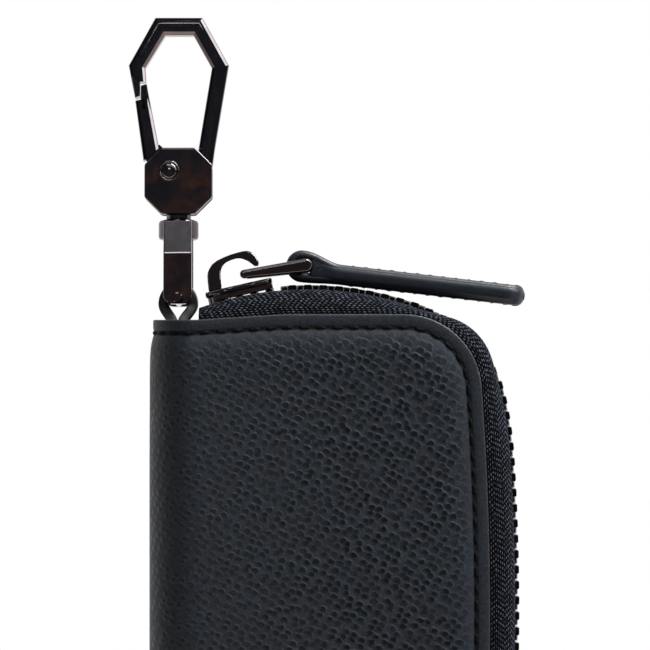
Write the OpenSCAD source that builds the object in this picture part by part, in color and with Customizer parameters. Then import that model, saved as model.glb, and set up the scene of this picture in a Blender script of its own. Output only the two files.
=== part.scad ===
// Zip-around key case with a swivel snap hook, lying on its back cover.
// X runs across the case, Y along it towards the hook, Z up through its thickness.
// The origin is the centre of the back cover's outer face.

/* [Case] */
// Width of the closed case, without the zip
case_w = 61; // [56:0.5:70]
// Height of the covers
case_h = 108; // [100:1:120]
// Thickness of the closed case
case_t = 21; // [20:0.5:24]
// Radius of the covers' two corners on the zip side
corner_r = 14; // [12:0.5:16]
// Radius of the slight bow of the covers' long side
side_bow_r = 560; // [400:10:900]
// Outer radius of the two spine bends
spine_r = 8; // [7:0.25:8.5]
// How much lower the covers' ends are at the spine
spine_drop = 1; // [0.5:0.1:1.5]
// Where the ends start to drop, measured from the spine
drop_run = 24; // [20:1:28]
// Gap between the leather pieces along each bend
bend_gap = 0.3; // [0.2:0.05:0.5]

/* [Layers] */
// Thickness of the cover leather
leather_t = 1.4; // [1.2:0.1:1.6]
// Thickness of the stiffener board
board_t = 0.8; // [0.6:0.1:1]
// Thickness of the lining
lining_t = 0.8; // [0.6:0.1:1]
// How far the lining stays inside the cover's edge
lining_inset = 0.8; // [0.5:0.1:1.5]
// Width of the tape's hem between leather and lining
hem_w = 4; // [3:0.25:5]
// Gap between the layers and the spine bends
layer_gap = 0.4; // [0.3:0.1:0.8]
// Length that the spine lining stays short of each end
spine_lining_inset = 7; // [6:0.5:10]

/* [Zip path] */
// Radius of the zip's arch along the top, on the teeth's centre line
zip_top_r = 58.75; // [54:0.25:66]
// Place of the arch's centre across the case
zip_top_x = -2.3; // [-4:0.1:0]
// Height of the arch above the covers' ends
zip_rise = 4.15; // [3.5:0.05:5]
// Where the arch ends across the case
zip_top_end = 14.7; // [13:0.1:16]
// Radius of the zip's corners
zip_corner_r = 11.5; // [10:0.25:13]
// Heading at which the corner arc ends, in degrees
zip_corner_end = 72; // [66:1:76]
// Radius of the zip's long side
zip_side_r = 450; // [350:10:600]
// Half length of the long side's arc
zip_side_run = 28; // [22:1:32]
// How far the long side stands out from the covers
zip_reach = 4.45; // [4:0.05:5]
// Distance of the tapes' ends from the spine's outer face
zip_start = 8.5; // [8.3:0.1:9.5]

/* [Zip tape and teeth] */
// Thickness of the woven tape
tape_t = 0.8; // [0.6:0.05:0.9]
// Distance from the zip's middle to where a tape stands straight
tape_bend = 5.2; // [5:0.05:5.6]
// Extra belly of the tape round the corners
corner_belly = 1.2; // [0.6:0.1:1.6]
// Distance between the teeth of one row
tooth_pitch = 2.8; // [2.6:0.1:3.2]
// Thickness of a tooth, square to the tape
tooth_t = 2.5; // [2.2:0.1:2.6]
// Width of a tooth's head
tooth_head_w = 1.15; // [1:0.05:1.2]
// Width of a tooth's clamping foot
tooth_foot_w = 1.6; // [1.4:0.05:1.8]
// Distance from the zip's middle to the far end of a foot
tooth_foot = 3.2; // [3:0.05:3.4]
// How far a head reaches past the zip's middle
tooth_lap = 0.6; // [0.4:0.05:0.8]
// Length along the zip of an end stop
stop_l = 2.2; // [1.8:0.1:2.6]
// Thickness of an end stop, square to the tape
stop_t = 3; // [2.6:0.1:3.2]

/* [Slider] */
// Length of the slider's plates
slider_l = 14.2; // [13:0.1:15]
// Width of the slider at its nose
slider_w = 10.4; // [10:0.1:10.8]
// Width of the slider at its rear
slider_rear_w = 8.8; // [8.6:0.1:9.4]
// Thickness of one plate
plate_t = 1.2; // [1:0.05:1.4]
// Half height of the channel for the teeth
channel_h = 1.55; // [1.5:0.05:1.7]
// Half height of the slot for the tape
slot_h = 0.8; // [0.75:0.05:0.9]
// Width of the slider's side flanges
flange_w = 0.85; // [0.7:0.05:1]
// Width of the wedge between the plates
wedge_w = 3; // [2.6:0.1:3.2]
// Distance of the closed slider's centre from the spine's outer face
slider_inset = 15.2; // [15.1:0.05:15.7]
// Width of the crown
crown_w = 2.2; // [1.8:0.1:2.6]
// Height of the crown above the plate
crown_h = 5.9; // [5.5:0.1:6.5]
// Length of the crown
crown_l = 10.2; // [9.5:0.1:11]

/* [Pull] */
// Distance between the pull link's two bars
link_l = 10.55; // [10:0.05:11.5]
// Width over the link's side plates
link_w = 11.2; // [10.6:0.1:12]
// Thickness of a side plate
link_side_t = 1.3; // [1:0.05:1.5]
// Radius of the link's bars
link_bar_r = 0.8; // [0.7:0.05:0.9]
// Radius of the link's far ends
link_end_r = 1.25; // [1.1:0.05:1.4]
// How far the side plates run past the far bar
link_tail = 2; // [1.5:0.1:2.5]
// Angle of the link to the X axis, in degrees
link_angle = 8; // [6:0.5:10]
// Length of the strap from the far bar
strap_l = 41; // [36:0.5:46]
// Width of the strap
strap_w = 7.6; // [7:0.1:8]
// Thickness of the strap's leather
strap_t = 1.8; // [1.6:0.05:1.9]
// Clearance round the far bar
strap_gap = 0.3; // [0.25:0.05:0.5]
// Angle of the strap to the X axis, in degrees
strap_angle = -6.7; // [-7:0.1:-6]
// How far the strap lies below the far bar's centre
strap_drop = 0.72; // [0.6:0.02:0.75]
// Length over which the strap's two layers come together
strap_wrap = 7.2; // [6:0.2:9]
// Gap between two leather layers laid together
layer_seam = 0.03; // [0.02:0.01:0.05]

/* [Leather loop] */
// Distance of the loop's and the hook's middle from the spine's outer face
clip_inset = 4.3; // [4.2:0.05:4.4]
// Distance of the loop's metal bar beyond the covers' ends
loop_reach = 2.75; // [2.5:0.05:4]
// Height of the loop where it leaves the case
loop_exit_z = 8.4; // [8.2:0.1:9]
// Width of the loop's leather
loop_w = 5.2; // [4.8:0.1:5.4]
// Thickness of the loop's leather
loop_t = 1.8; // [1.5:0.1:1.9]
// Half width of the loop's belly, on the leather's middle
loop_belly = 2.7; // [2.6:0.05:2.75]
// Height of the loop's round end above its belly
loop_head = 3.15; // [3.1:0.05:3.4]
// Length of the loop below its belly
loop_tail = 7.4; // [7:0.1:8]
// Length of the loop's end that lies on its patch
loop_seat = 1.8; // [1.5:0.1:2]

/* [Swivel] */
// Height of the hook's axis at the loop
clip_z = 5.4; // [5.3:0.1:6]
// Slope of the hook towards the table, in degrees
clip_tilt = 3.6; // [3:0.1:4]
// Radius of the eye's bar
eye_bar_r = 1.1; // [1:0.05:1.2]
// Width of the eye's legs
eye_leg_w = 5.2; // [4.8:0.1:5.6]
// Thickness of the eye's legs
eye_leg_t = 2; // [1.8:0.1:2.2]
// Clearance between the legs and the leather
eye_gap = 0.3; // [0.25:0.05:0.4]
// Length of the eye's straight legs above the bar
eye_leg_l = 8.2; // [7.8:0.1:8.6]
// Radius of the eye's boss
boss_r = 3.7; // [3.5:0.1:4]
// Height of the boss
boss_h = 3.65; // [3.2:0.05:4]
// Distance of the boss's far face from the bar
boss_top = 14.6; // [14.2:0.1:15]
// Radius of the post in the boss
post_r = 1.55; // [1.4:0.05:1.7]
// Running clearance of the post
post_gap = 0.05; // [0.03:0.01:0.08]
// Radius of the post's head
post_head_r = 2.2; // [2.1:0.1:2.4]
// Height of the post's head
post_head_h = 1.5; // [1.3:0.1:1.6]
// Radius of the post's neck
neck_r = 2.3; // [2.1:0.1:2.6]
// Length of the post's neck
neck_h = 0.9; // [0.7:0.1:1.2]
// Depth of the post in the hook's body
post_seat = 3; // [2.6:0.1:3.4]

/* [Snap hook] */
// Width of the hook's eight-sided body
body_w = 12.5; // [12:0.1:13]
// Length of the body
body_l = 12.3; // [12:0.1:12.6]
// Thickness of the body
body_t = 5; // [4.6:0.1:5.4]
// Width of the hook's frame
frame_w = 18.5; // [18:0.1:19.5]
// Length of the frame above the body
frame_l = 24; // [23:0.25:26]
// Thickness of the frame
frame_t = 3.7; // [3.4:0.1:4]
// Place of the gate's rivet across the hook
rivet_x = -1.7; // [-1.9:0.05:-1.5]
// Place of the gate's rivet above the body's near end
rivet_y = 8; // [7.8:0.05:8.2]
// Radius of the gate's rivet
rivet_r = 1; // [0.8:0.05:1.2]
// Radius of the rivet's heads
rivet_head_r = 1.8; // [1.6:0.05:2]
// Height of the rivet's heads
rivet_head_h = 0.3; // [0.2:0.05:0.4]
// Radius of the gate's tongue
tongue_r = 2.7; // [2.5:0.05:2.9]
// Thickness of the gate's tongue
tongue_t = 1.7; // [1.5:0.05:1.9]
// Clearance on each side of the tongue
tongue_gap = 0.1; // [0.08:0.01:0.15]
// Radius round the rivet that the gate's thick part stays clear of
gate_relief_r = 4.7; // [4.6:0.05:4.9]
// Outer radius of the gate's spring
spring_r = 0.85; // [0.7:0.05:0.95]
// Wall of the spring's coil
spring_wire = 0.35; // [0.25:0.05:0.4]

/* [Key hooks] */
// Distance between the key hooks
hook_pitch = 7; // [6.6:0.1:7.4]
// Width of a key hook
hook_w = 5.6; // [5:0.1:6]
// Length of a key hook from its bar
hook_l = 11.8; // [11:0.1:12]
// Distance from the bar to a key hook's loop
hook_neck = 3; // [2.8:0.1:3.4]
// Clearance under the key hooks
hook_lift = 0.3; // [0.2:0.05:0.5]
// Thickness of a key hook
hook_t = 1.4; // [1.2:0.1:1.5]
// Width of the metal round a key hook's loop
hook_wire = 1.4; // [1.2:0.05:1.6]
// Gap through which a key goes on
hook_mouth = 2.2; // [2:0.1:2.8]
// Outer radius of a key hook's barrel
barrel_r = 1.6; // [1.5:0.05:1.7]
// Radius of the bar that the key hooks swing on
key_bar_r = 0.8; // [0.7:0.05:0.9]
// Running clearance of a key hook on the bar
key_bar_gap = 0.06; // [0.04:0.01:0.08]
// Distance of the bar from the case's upper end
key_bar_inset = 16; // [15:0.5:20]
// Place of the rail's middle across the case
rail_x = 1; // [0:0.5:2]
// Length of the rail beyond the outer key hooks
rail_end = 2; // [1.6:0.1:3]
// Width of the rail's base
rail_w = 9; // [8:0.25:10]
// Thickness of the rail's metal
rail_t = 0.8; // [0.6:0.05:0.9]
// Thickness of the rail's ears
ear_t = 1.1; // [0.9:0.05:1.2]
// Radius of the rail's rivets
rail_rivet_r = 1; // [0.8:0.05:1.2]
// Radius of their heads
rail_head_r = 2; // [1.8:0.1:2.2]
// Distance between the rail's rivets
rail_rivet_pitch = 28; // [24:1:30]

/* [Card pockets] */
// Width of the pockets
pocket_w = 42; // [38:1:44]
// Height of the near pocket
pocket_low_h = 34; // [28:1:38]
// Height of the far pocket
pocket_high_h = 44; // [40:1:46]
// Thickness of a pocket's panel
pocket_t = 0.7; // [0.5:0.05:0.8]
// Depth of the room in a pocket
pocket_room = 0.6; // [0.5:0.05:0.8]
// Width of a pocket's sewn rim
pocket_rim = 2; // [1.5:0.25:2.5]
// Distance of the pockets from the case's lower end
pocket_inset = 6; // [5:0.5:8]
// Distance of the pockets from the panel's fold
pocket_side = 3.5; // [2.5:0.5:5]

/* [Hidden] */

leather = [0.12, 0.13, 0.145];
cloth = [0.10, 0.105, 0.12];
gunmetal = [0.22, 0.20, 0.20];
steel = [0.62, 0.62, 0.60];
card = [0.30, 0.26, 0.21];

round_fn = 48;
corner_count = 12;
side_count = 8;
hook_count = 6;
cut = 1;

mid_z = case_t / 2;
half_w = case_w / 2;
half_h = case_h / 2;
fold_x = -half_w + spine_r;
drop_x = -half_w + drop_run;
board_z = leather_t;
lining_z = board_z + board_t;
inner_z = lining_z + lining_t;

// Outline of a cover, a distance inside its edge
bow_x = half_w - side_bow_r;
corner_y = half_h - corner_r;
corner_x = bow_x + sqrt((side_bow_r - corner_r) ^ 2 - corner_y ^ 2);
bow_angle = atan2(corner_y, corner_x - bow_x);

function arc(c, r, from, to, steps) =
    [for (i = [0 : steps]) let (a = from + (to - from) * i / steps) c + r * [cos(a), sin(a)]];

function mirrored(points) = [for (i = [len(points) - 1 : -1 : 0]) [points[i][0], -points[i][1]]];

function edge_half(inset) = concat(
    [[drop_x, half_h - inset]],
    arc([corner_x, corner_y], corner_r - inset, 90, bow_angle, corner_count),
    [for (i = [1 : side_count]) let (a = bow_angle * (1 - i / side_count))
        [bow_x, 0] + (side_bow_r - inset) * [cos(a), sin(a)]]
);

function drop_at(x) = spine_drop * max(0, drop_x - x) / (drop_x - fold_x);

module panel(inset, start_x, t) {
    half = concat([[start_x, half_h - inset - drop_at(start_x)]], edge_half(inset));
    linear_extrude(t) polygon(concat(half, mirrored(half)));
}

// Leather bend: a sector of the ring round the inside of the spine
gap_angle = bend_gap / 2 / spine_r * 180 / PI;

module bend(z, a, b) {
    far = spine_r * 2;
    translate([fold_x, half_h - spine_drop, z]) rotate([90, 0, 0])
        linear_extrude(case_h - 2 * spine_drop) intersection() {
            difference() {
                circle(spine_r, $fn = 2 * round_fn);
                circle(spine_r - leather_t, $fn = 2 * round_fn);
            }
            polygon([[0, 0], far * [cos(a), sin(a)], far * [cos(b), sin(b)]]);
        }
}

module flipped() translate([0, 0, case_t]) mirror([0, 0, 1]) children();

// Zip path: heading is turned clockwise from +X, so the outward side is [sin, cos]
zip_top_y = half_h + zip_rise - zip_top_r;
zip_start_x = -half_w + zip_start;
head_start = asin((zip_start_x - zip_top_x) / zip_top_r);
head_top = asin((zip_top_end - zip_top_x) / zip_top_r);
head_side = acos(zip_side_run / zip_side_r);
zip_side_x = half_w + zip_reach;
top_end = [zip_top_end, zip_top_y + zip_top_r * cos(head_top)];
side_end = [zip_side_x - zip_side_r * (1 - sin(head_side)), zip_side_run];

// The straight before the corner arc and the easy arc after it close the path
bridge = [side_end[0] - top_end[0], top_end[1] - side_end[1]]
    - zip_corner_r * [sin(zip_corner_end) - sin(head_top), cos(head_top) - cos(zip_corner_end)];
ease = [sin(head_side) - sin(zip_corner_end), cos(zip_corner_end) - cos(head_side)];
bridge_det = cos(head_top) * ease[1] - sin(head_top) * ease[0];
zip_straight = (bridge[0] * ease[1] - bridge[1] * ease[0]) / bridge_det;
zip_ease_r = (cos(head_top) * bridge[1] - sin(head_top) * bridge[0]) / bridge_det;

function run(r, angle) = r * angle * PI / 180;
s_top = run(zip_top_r, head_top - head_start);
s_straight = s_top + zip_straight;
s_corner = s_straight + run(zip_corner_r, zip_corner_end - head_top);
s_ease = s_corner + run(zip_ease_r, head_side - zip_corner_end);
s_half = s_ease + run(zip_side_r, 90 - head_side);
zip_l = 2 * s_half;

function turned(from, r, h0, h1) = from + r * [sin(h1) - sin(h0), cos(h1) - cos(h0)];
straight_end = top_end + zip_straight * [cos(head_top), -sin(head_top)];
corner_end = turned(straight_end, zip_corner_r, head_top, zip_corner_end);

function heading(s) =
    s > s_half ? 180 - heading(zip_l - s) :
    s < s_top ? head_start + s / zip_top_r * 180 / PI :
    s < s_straight ? head_top :
    s < s_corner ? head_top + (s - s_straight) / zip_corner_r * 180 / PI :
    s < s_ease ? zip_corner_end + (s - s_corner) / zip_ease_r * 180 / PI :
    head_side + (s - s_ease) / zip_side_r * 180 / PI;

function zip_at(s) =
    s > s_half ? let (p = zip_at(zip_l - s)) [p[0], -p[1]] :
    s < s_top ? [zip_top_x, zip_top_y] + zip_top_r * [sin(heading(s)), cos(heading(s))] :
    s < s_straight ? top_end + (s - s_top) * [cos(head_top), -sin(head_top)] :
    s < s_corner ? turned(straight_end, zip_corner_r, head_top, heading(s)) :
    s < s_ease ? turned(corner_end, zip_ease_r, zip_corner_end, heading(s)) :
    turned(side_end, zip_side_r, head_side, heading(s));

// The covers' edge, as a share of its length from the tape's start
edge_top = corner_x - zip_start_x;
edge_corner = edge_top + run(corner_r, 90 - bow_angle);
edge_half_l = edge_corner + run(side_bow_r, bow_angle);

function edge_at(share) =
    share > 0.5 ? let (p = edge_at(1 - share)) [p[0], -p[1]] :
    let (s = share * 2 * edge_half_l, x = zip_start_x + s)
    s < edge_top ? [x, half_h - drop_at(x)] :
    s < edge_corner ? let (a = 90 - (s - edge_top) / corner_r * 180 / PI)
        [corner_x, corner_y] + corner_r * [cos(a), sin(a)] :
    let (a = bow_angle - (s - edge_corner) / side_bow_r * 180 / PI)
        [bow_x, 0] + side_bow_r * [cos(a), sin(a)];

// Zip tape: a loft from the covers' edge out and down to the teeth
tape_count = 72;
fan_count = 4;
hem_m = mid_z - leather_t - tape_t / 2;
notch_m = tape_bend + layer_gap;
slider_clear = slider_l / 2 + layer_gap;
slider_head = asin((slider_inset - half_w - zip_top_x) / zip_top_r);
s_slider = run(zip_top_r, slider_head - head_start);
s_notch = s_slider + slider_clear;

function belly_at(s) =
    let (c = (s_straight + s_corner) / 2, w = s_corner - s_straight, d = min(abs(s - c), abs(zip_l - s - c)))
    corner_belly * max(0, cos(min(90, d / w * 90)));

// One section: [distance out from the edge, distance from the zip's middle], then its normal
function section(b, belly, last_m) =
    let (bend_m = max(tape_bend, last_m + layer_gap), rise = hem_m - bend_m)
    concat(
        [[[-hem_w, hem_m], [0, 1]], [[0, hem_m], [0, 1]]],
        [for (i = [1 : fan_count]) let (a = 90 * i / fan_count, q = [rise * sin(a), b * cos(a)])
            [[b * sin(a) + belly * sin(2 * a), bend_m + rise * cos(a)], q / norm(q)]],
        [[[b, last_m], [1, 0]]]
    );

module tape(notched) {
    rings = [for (i = [0 : tape_count])
        let (
            s = i / tape_count * zip_l,
            e = edge_at(i / tape_count),
            b = norm(zip_at(s) - e),
            u = (zip_at(s) - e) / b,
            line = section(b, belly_at(s), notched && s < s_notch ? notch_m : tooth_foot),
            upper = [for (p = line) p[0] + tape_t / 2 * p[1]],
            lower = [for (k = [len(line) - 1 : -1 : 0]) line[k][0] - tape_t / 2 * line[k][1]]
        )
        [for (c = concat(upper, lower)) [e[0] + c[0] * u[0], e[1] + c[0] * u[1], mid_z + c[1]]]];
    loft(rings);
}

// Closed loft through rings of equal length
module loft(rings) {
    n = len(rings[0]);
    last = (len(rings) - 1) * n;
    polyhedron(
        points = [for (ring = rings) each ring],
        faces = concat(
            [[for (k = [0 : n - 1]) k]],
            [for (i = [0 : len(rings) - 2], k = [0 : n - 1]) each
                let (a = i * n + k, b = i * n + (k + 1) % n)
                [[a, a + n, b], [b, a + n, b + n]]],
            [[for (k = [n - 1 : -1 : 0]) last + k]]
        )
    );
}

module along_zip(s) translate([zip_at(s)[0], zip_at(s)[1], mid_z]) rotate([0, 0, -heading(s)]) children();

// One tooth of the front row, from its head past the middle to its foot on the tape
tooth_neck_share = 0.4;

module tooth() {
    neck = tooth_foot * tooth_neck_share;
    rotate([90, 0, 0]) linear_extrude(tooth_t, center = true) polygon([
        [-tooth_head_w / 2, -tooth_lap], [tooth_head_w / 2, -tooth_lap],
        [tooth_head_w / 2, neck], [tooth_foot_w / 2, neck + tooth_lap],
        [tooth_foot_w / 2, tooth_foot], [-tooth_foot_w / 2, tooth_foot],
        [-tooth_foot_w / 2, neck + tooth_lap], [-tooth_head_w / 2, neck]
    ]);
}

module teeth(first) {
    stop_room = stop_l + tooth_pitch / 2;
    for (s = [first : tooth_pitch : zip_l - stop_room]) along_zip(s) tooth();
}

// The two rows stand half a pitch apart
s_front_first = s_notch + tooth_pitch;
s_back_first = s_front_first - tooth_pitch * 3.5;

module end_stop() along_zip(zip_l - stop_l / 2 - tape_t / 2) difference() {
    low = tooth_foot - tooth_lap;
    rotate([90, 0, 0]) linear_extrude(stop_t, center = true)
        polygon([[-stop_l / 2, low], [stop_l / 2, low], [stop_l / 2, tape_bend], [-stop_l / 2, tape_bend]]);
    translate([-stop_l, -tape_t / 2, tooth_foot]) cube([2 * stop_l, tape_t, tape_bend]);
}

// Case panels
module back_cover() color(leather) {
    panel(0, fold_x, leather_t);
    bend(spine_r, 225 + gap_angle, 270);
}

module front_cover() color(leather) flipped() {
    panel(0, fold_x, leather_t);
    bend(spine_r, 225 + gap_angle, 270);
}

module spine_cover() color(leather) {
    bend(spine_r, 180, 225 - gap_angle);
    flipped() bend(spine_r, 180, 225 - gap_angle);
    translate([-half_w, -half_h + spine_drop, spine_r])
        cube([leather_t, case_h - 2 * spine_drop, case_t - 2 * spine_r]);
}

module spine_lining() color(cloth)
    translate([-half_w + leather_t, -half_h + spine_lining_inset, spine_r])
        cube([lining_t, case_h - 2 * spine_lining_inset, case_t - 2 * spine_r]);

module board() translate([0, 0, board_z]) panel(hem_w + layer_gap, fold_x + layer_gap, board_t);
module lining() translate([0, 0, lining_z]) panel(lining_inset, fold_x + layer_gap, lining_t);

module back_board() color(card) difference() {
    board();
    rail_rivet_holes();
}

module back_lining() color(cloth) difference() {
    lining();
    rail_rivet_holes();
}

module front_board() color(card) flipped() board();
module front_lining() color(cloth) flipped() lining();

module back_tape() color(cloth) flipped() tape(false);
module front_tape() color(cloth) tape(true);
module back_teeth() color(gunmetal) flipped() teeth(s_back_first);
module front_teeth() color(gunmetal) teeth(s_front_first);
module back_stop() color(gunmetal) flipped() end_stop();
module front_stop() color(gunmetal) end_stop();

// Card pockets on the front lining, open at their upper side
module pocket(h, z) {
    size = [pocket_w, h, pocket_room + pocket_t];
    translate([fold_x + pocket_side, -half_h + pocket_inset, z - size[2]]) difference() {
        cube(size);
        translate([pocket_rim, pocket_rim, pocket_t]) cube([size[0] - 2 * pocket_rim, h, size[2]]);
    }
}

module card_pocket_high() color(leather) pocket(pocket_high_h, case_t - inner_z);
module card_pocket_low() color(leather)
    pocket(pocket_low_h, case_t - inner_z - pocket_room - pocket_t);

// Zip slider, in its own frame: x along the zip, y outward, z across the tapes
slider_sag = zip_top_r - sqrt(zip_top_r ^ 2 - (slider_l / 2) ^ 2);
slider_r = zip_top_r - slider_sag / 2;

module at_slider() translate([zip_top_x, zip_top_y, mid_z]) rotate([0, 0, -slider_head])
    translate([0, slider_r, 0]) children();

nose_x = -slider_l / 2;
rear_x = slider_l / 2;

// Outline of a plate: shares of the slider's length and of its half width
plate_nose_shares = [[0.00, 0.40], [0.06, 0.84], [0.20, 1.00]];
widest_share = 0.42;
rear_share = 0.70;
outer_share = 0.12;
wedge_shares = [[0.12, 0], [0.20, 1], [0.34, 1], [0.46, 0]];

function sides(wide, narrow) =
    [[nose_x + widest_share * slider_l, wide], [nose_x + rear_share * slider_l, narrow], [rear_x, narrow]];

function plate_half(from) = concat(
    [for (p = plate_nose_shares) [from + p[0] * slider_l, p[1] * slider_w / 2]],
    sides(slider_w / 2, slider_rear_w / 2)
);

module plan(y0, y1) translate([0, y1, 0]) rotate([90, 0, 0]) linear_extrude(y1 - y0) children();

module slider_body() color(gunmetal) at_slider() {
    outer_half = plate_half(nose_x + outer_share * slider_l);
    inner_half = plate_half(nose_x);
    wedge = [for (p = wedge_shares) [nose_x + p[0] * slider_l, p[1] * wedge_w / 2]];
    plan(channel_h, channel_h + plate_t) polygon(concat(outer_half, mirrored(outer_half)));
    plan(-channel_h - plate_t, -channel_h) polygon(concat(inner_half, mirrored(inner_half)));
    for (side = [-1, 1]) plan(min(side * channel_h, side * slot_h), max(side * channel_h, side * slot_h))
        difference() {
            polygon(concat(outer_half, mirrored(outer_half)));
            flange_plan();
        }
    plan(-channel_h, channel_h) polygon(concat(wedge, mirrored([wedge[1], wedge[2]])));
}

module flange_plan() {
    inner = concat(
        [[nose_x - cut, slider_w / 2 - flange_w]],
        sides(slider_w / 2 - flange_w, slider_rear_w / 2 - flange_w),
        [[rear_x + cut, slider_rear_w / 2 - flange_w]]
    );
    polygon(concat(inner, mirrored(inner)));
}

// Crown: an open hook on the outer plate, its points as shares of its length and height
crown_shares = [
    [0.00, 0.00], [0.03, 0.45], [0.07, 0.64], [0.20, 0.86], [0.47, 0.97], [0.74, 1.00], [0.86, 0.97],
    [0.95, 0.82], [1.00, 0.55], [0.97, 0.45], [0.91, 0.44], [0.86, 0.55], [0.78, 0.70], [0.65, 0.82],
    [0.50, 0.80], [0.39, 0.75], [0.31, 0.62], [0.27, 0.42], [0.24, 0.00]
];
crown_place_share = 0.17;
crown_x = nose_x + slider_l * crown_place_share;
crown_y = channel_h + plate_t;

module slider_crown() color(gunmetal) at_slider() translate([crown_x, crown_y, 0])
    linear_extrude(crown_w, center = true)
        polygon([for (p = crown_shares) [p[0] * crown_l, p[1] * crown_h]]);

// Pull link: hangs in the crown by its near bar
link_at_share = [0.7, 0.277];
link_local = [crown_x + link_at_share[0] * crown_l, crown_y + link_at_share[1] * crown_h];
link_x = zip_top_x + sin(slider_head) * (slider_r + link_local[1]) + cos(slider_head) * link_local[0];
link_y = zip_top_y + cos(slider_head) * (slider_r + link_local[1]) - sin(slider_head) * link_local[0];
far_x = link_x + link_l * cos(link_angle);
far_y = link_y + link_l * sin(link_angle);

module pull_link() color(gunmetal) translate([link_x, link_y, mid_z]) rotate([0, 0, link_angle]) {
    cylinder(h = link_w, r = link_bar_r, center = true, $fn = round_fn);
    translate([link_l, 0, 0]) cylinder(h = link_w, r = link_bar_r, center = true, $fn = round_fn);
    for (z = [-link_w / 2, link_w / 2 - link_side_t]) translate([0, 0, z]) linear_extrude(link_side_t) {
        circle(link_bar_r, $fn = round_fn);
        translate([link_l + link_tail - link_end_r, 0]) circle(link_end_r, $fn = round_fn);
        polygon([
            [0, -link_bar_r], [link_l + link_tail - link_end_r, -link_end_r],
            [link_l + link_tail - link_end_r, link_end_r], [0, link_bar_r]
        ]);
    }
}

// Straps: a strip swept along a line in X and Y, [x, y, z, half width] for each point
module strip(line, t) {
    n = len(line);
    function flat(p) = [p[0], p[1]];
    rings = [for (i = [0 : n - 1])
        let (
            d = flat(line[min(n - 1, i + 1)]) - flat(line[max(0, i - 1)]),
            q = [-d[1], d[0]] / norm(d) * t / 2,
            p = line[i]
        )
        [
            [p[0] + q[0], p[1] + q[1], p[2] - p[3]], [p[0] - q[0], p[1] - q[1], p[2] - p[3]],
            [p[0] - q[0], p[1] - q[1], p[2] + p[3]], [p[0] + q[0], p[1] + q[1], p[2] + p[3]]
        ]];
    loft(rings);
}

function ease_in(f) = (1 - cos(180 * min(1, max(0, f)))) / 2;

// Pull strap: one strip folded round the far bar, its two layers laid together
strap_ring_r = link_bar_r + strap_gap + strap_t / 2;
strap_layer = strap_t / 2 + layer_seam / 2;
strap_round = strap_w / 2;
strap_end_share = 0.3;
tip_share = 0.3;
tip_count = 4;
wrap_count = 6;
tip_x = strap_l - strap_round * tip_share * tip_count;

function strap_half(x) =
    strap_w / 2 * max(strap_end_share, sqrt(max(0, 1 - (max(0, x - strap_l + strap_round) / strap_round) ^ 2)));
function strap_y(x, side) = let (f = ease_in(x / strap_wrap))
    side * strap_ring_r * (1 - f) + (side * strap_layer - strap_drop) * f;

strap_xs = concat(
    [for (i = [0 : tip_count - 1]) strap_l - strap_round * tip_share * i],
    [for (i = [0 : tip_count - 1]) tip_x - (tip_x - strap_wrap) * i / tip_count],
    [for (i = [0 : wrap_count - 1]) strap_wrap * (1 - i / wrap_count)]
);

module pull_strap() color(leather) translate([far_x, far_y, mid_z]) rotate([0, 0, strap_angle]) strip(concat(
    [for (x = strap_xs) [x, strap_y(x, 1), 0, strap_half(x)]],
    [for (a = [90 : 15 : 270]) [strap_ring_r * cos(a), strap_ring_r * sin(a), 0, strap_w / 2]],
    [for (i = [len(strap_xs) - 1 : -1 : 0]) let (x = strap_xs[i]) [x, strap_y(x, -1), 0, strap_half(x)]]
), strap_t);

// Leather loop: a strip up from the case, round the eye's bar and down again
clip_x = -half_w + clip_inset;
loop_bar_y = half_h + loop_reach;
loop_flare_share = 0.5;
loop_count = 9;
loop_belly_y = loop_bar_y + eye_bar_r + eye_gap + loop_t / 2 - loop_head;
loop_root_y = loop_belly_y - loop_tail;
loop_leg = loop_t / 2 + layer_seam / 2;
loop_flare_y = loop_belly_y - loop_tail * loop_flare_share;

function loop_z(y) = clip_z - (y - loop_bar_y) * tan(clip_tilt)
    + (loop_exit_z - clip_z) * ease_in((loop_belly_y - y) / (loop_belly_y - loop_flare_y));
function loop_half(y) = loop_leg + (loop_belly - loop_leg) * ease_in((y - loop_flare_y) / (loop_belly_y - loop_flare_y));

loop_ys = [for (i = [0 : loop_count - 1]) loop_root_y + (loop_belly_y - loop_root_y) * i / loop_count];
loop_arc = [for (a = [180 : -15 : 0]) [loop_belly * cos(a), loop_belly_y + loop_head * sin(a)]];

module clip_loop() color(leather) translate([clip_x, 0, 0]) strip(concat(
    [for (y = loop_ys) [-loop_half(y), y, loop_z(y), loop_w / 2]],
    [for (p = loop_arc) [p[0], p[1], loop_z(p[1]), loop_w / 2]],
    [for (i = [len(loop_ys) - 1 : -1 : 0]) let (y = loop_ys[i]) [loop_half(y), y, loop_z(y), loop_w / 2]]
), loop_t);

// Patch that sews the loop's end to the spine's flat wall
module loop_patch() color(leather) {
    wall_x = -half_w + leather_t;
    start_y = half_h - spine_lining_inset + layer_gap / 2;
    translate([wall_x, start_y, spine_r])
        cube([clip_x - loop_leg - loop_t / 2 - wall_x, loop_root_y + loop_seat - start_y, case_t - 2 * spine_r]);
}

// Everything of the clip lies in a frame that starts at the eye's bar, y along the hook
module at_clip() translate([clip_x, loop_bar_y, clip_z]) rotate([-clip_tilt, 0, 0]) children();
module along_y(y) translate([0, y, 0]) rotate([-90, 0, 0]) children();

boss_base = boss_top - boss_h;
eye_in = loop_w / 2 + eye_gap;
eye_out = eye_in + eye_leg_t;
eye_top = boss_r + eye_gap;
bore_r = post_r + post_gap;

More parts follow.
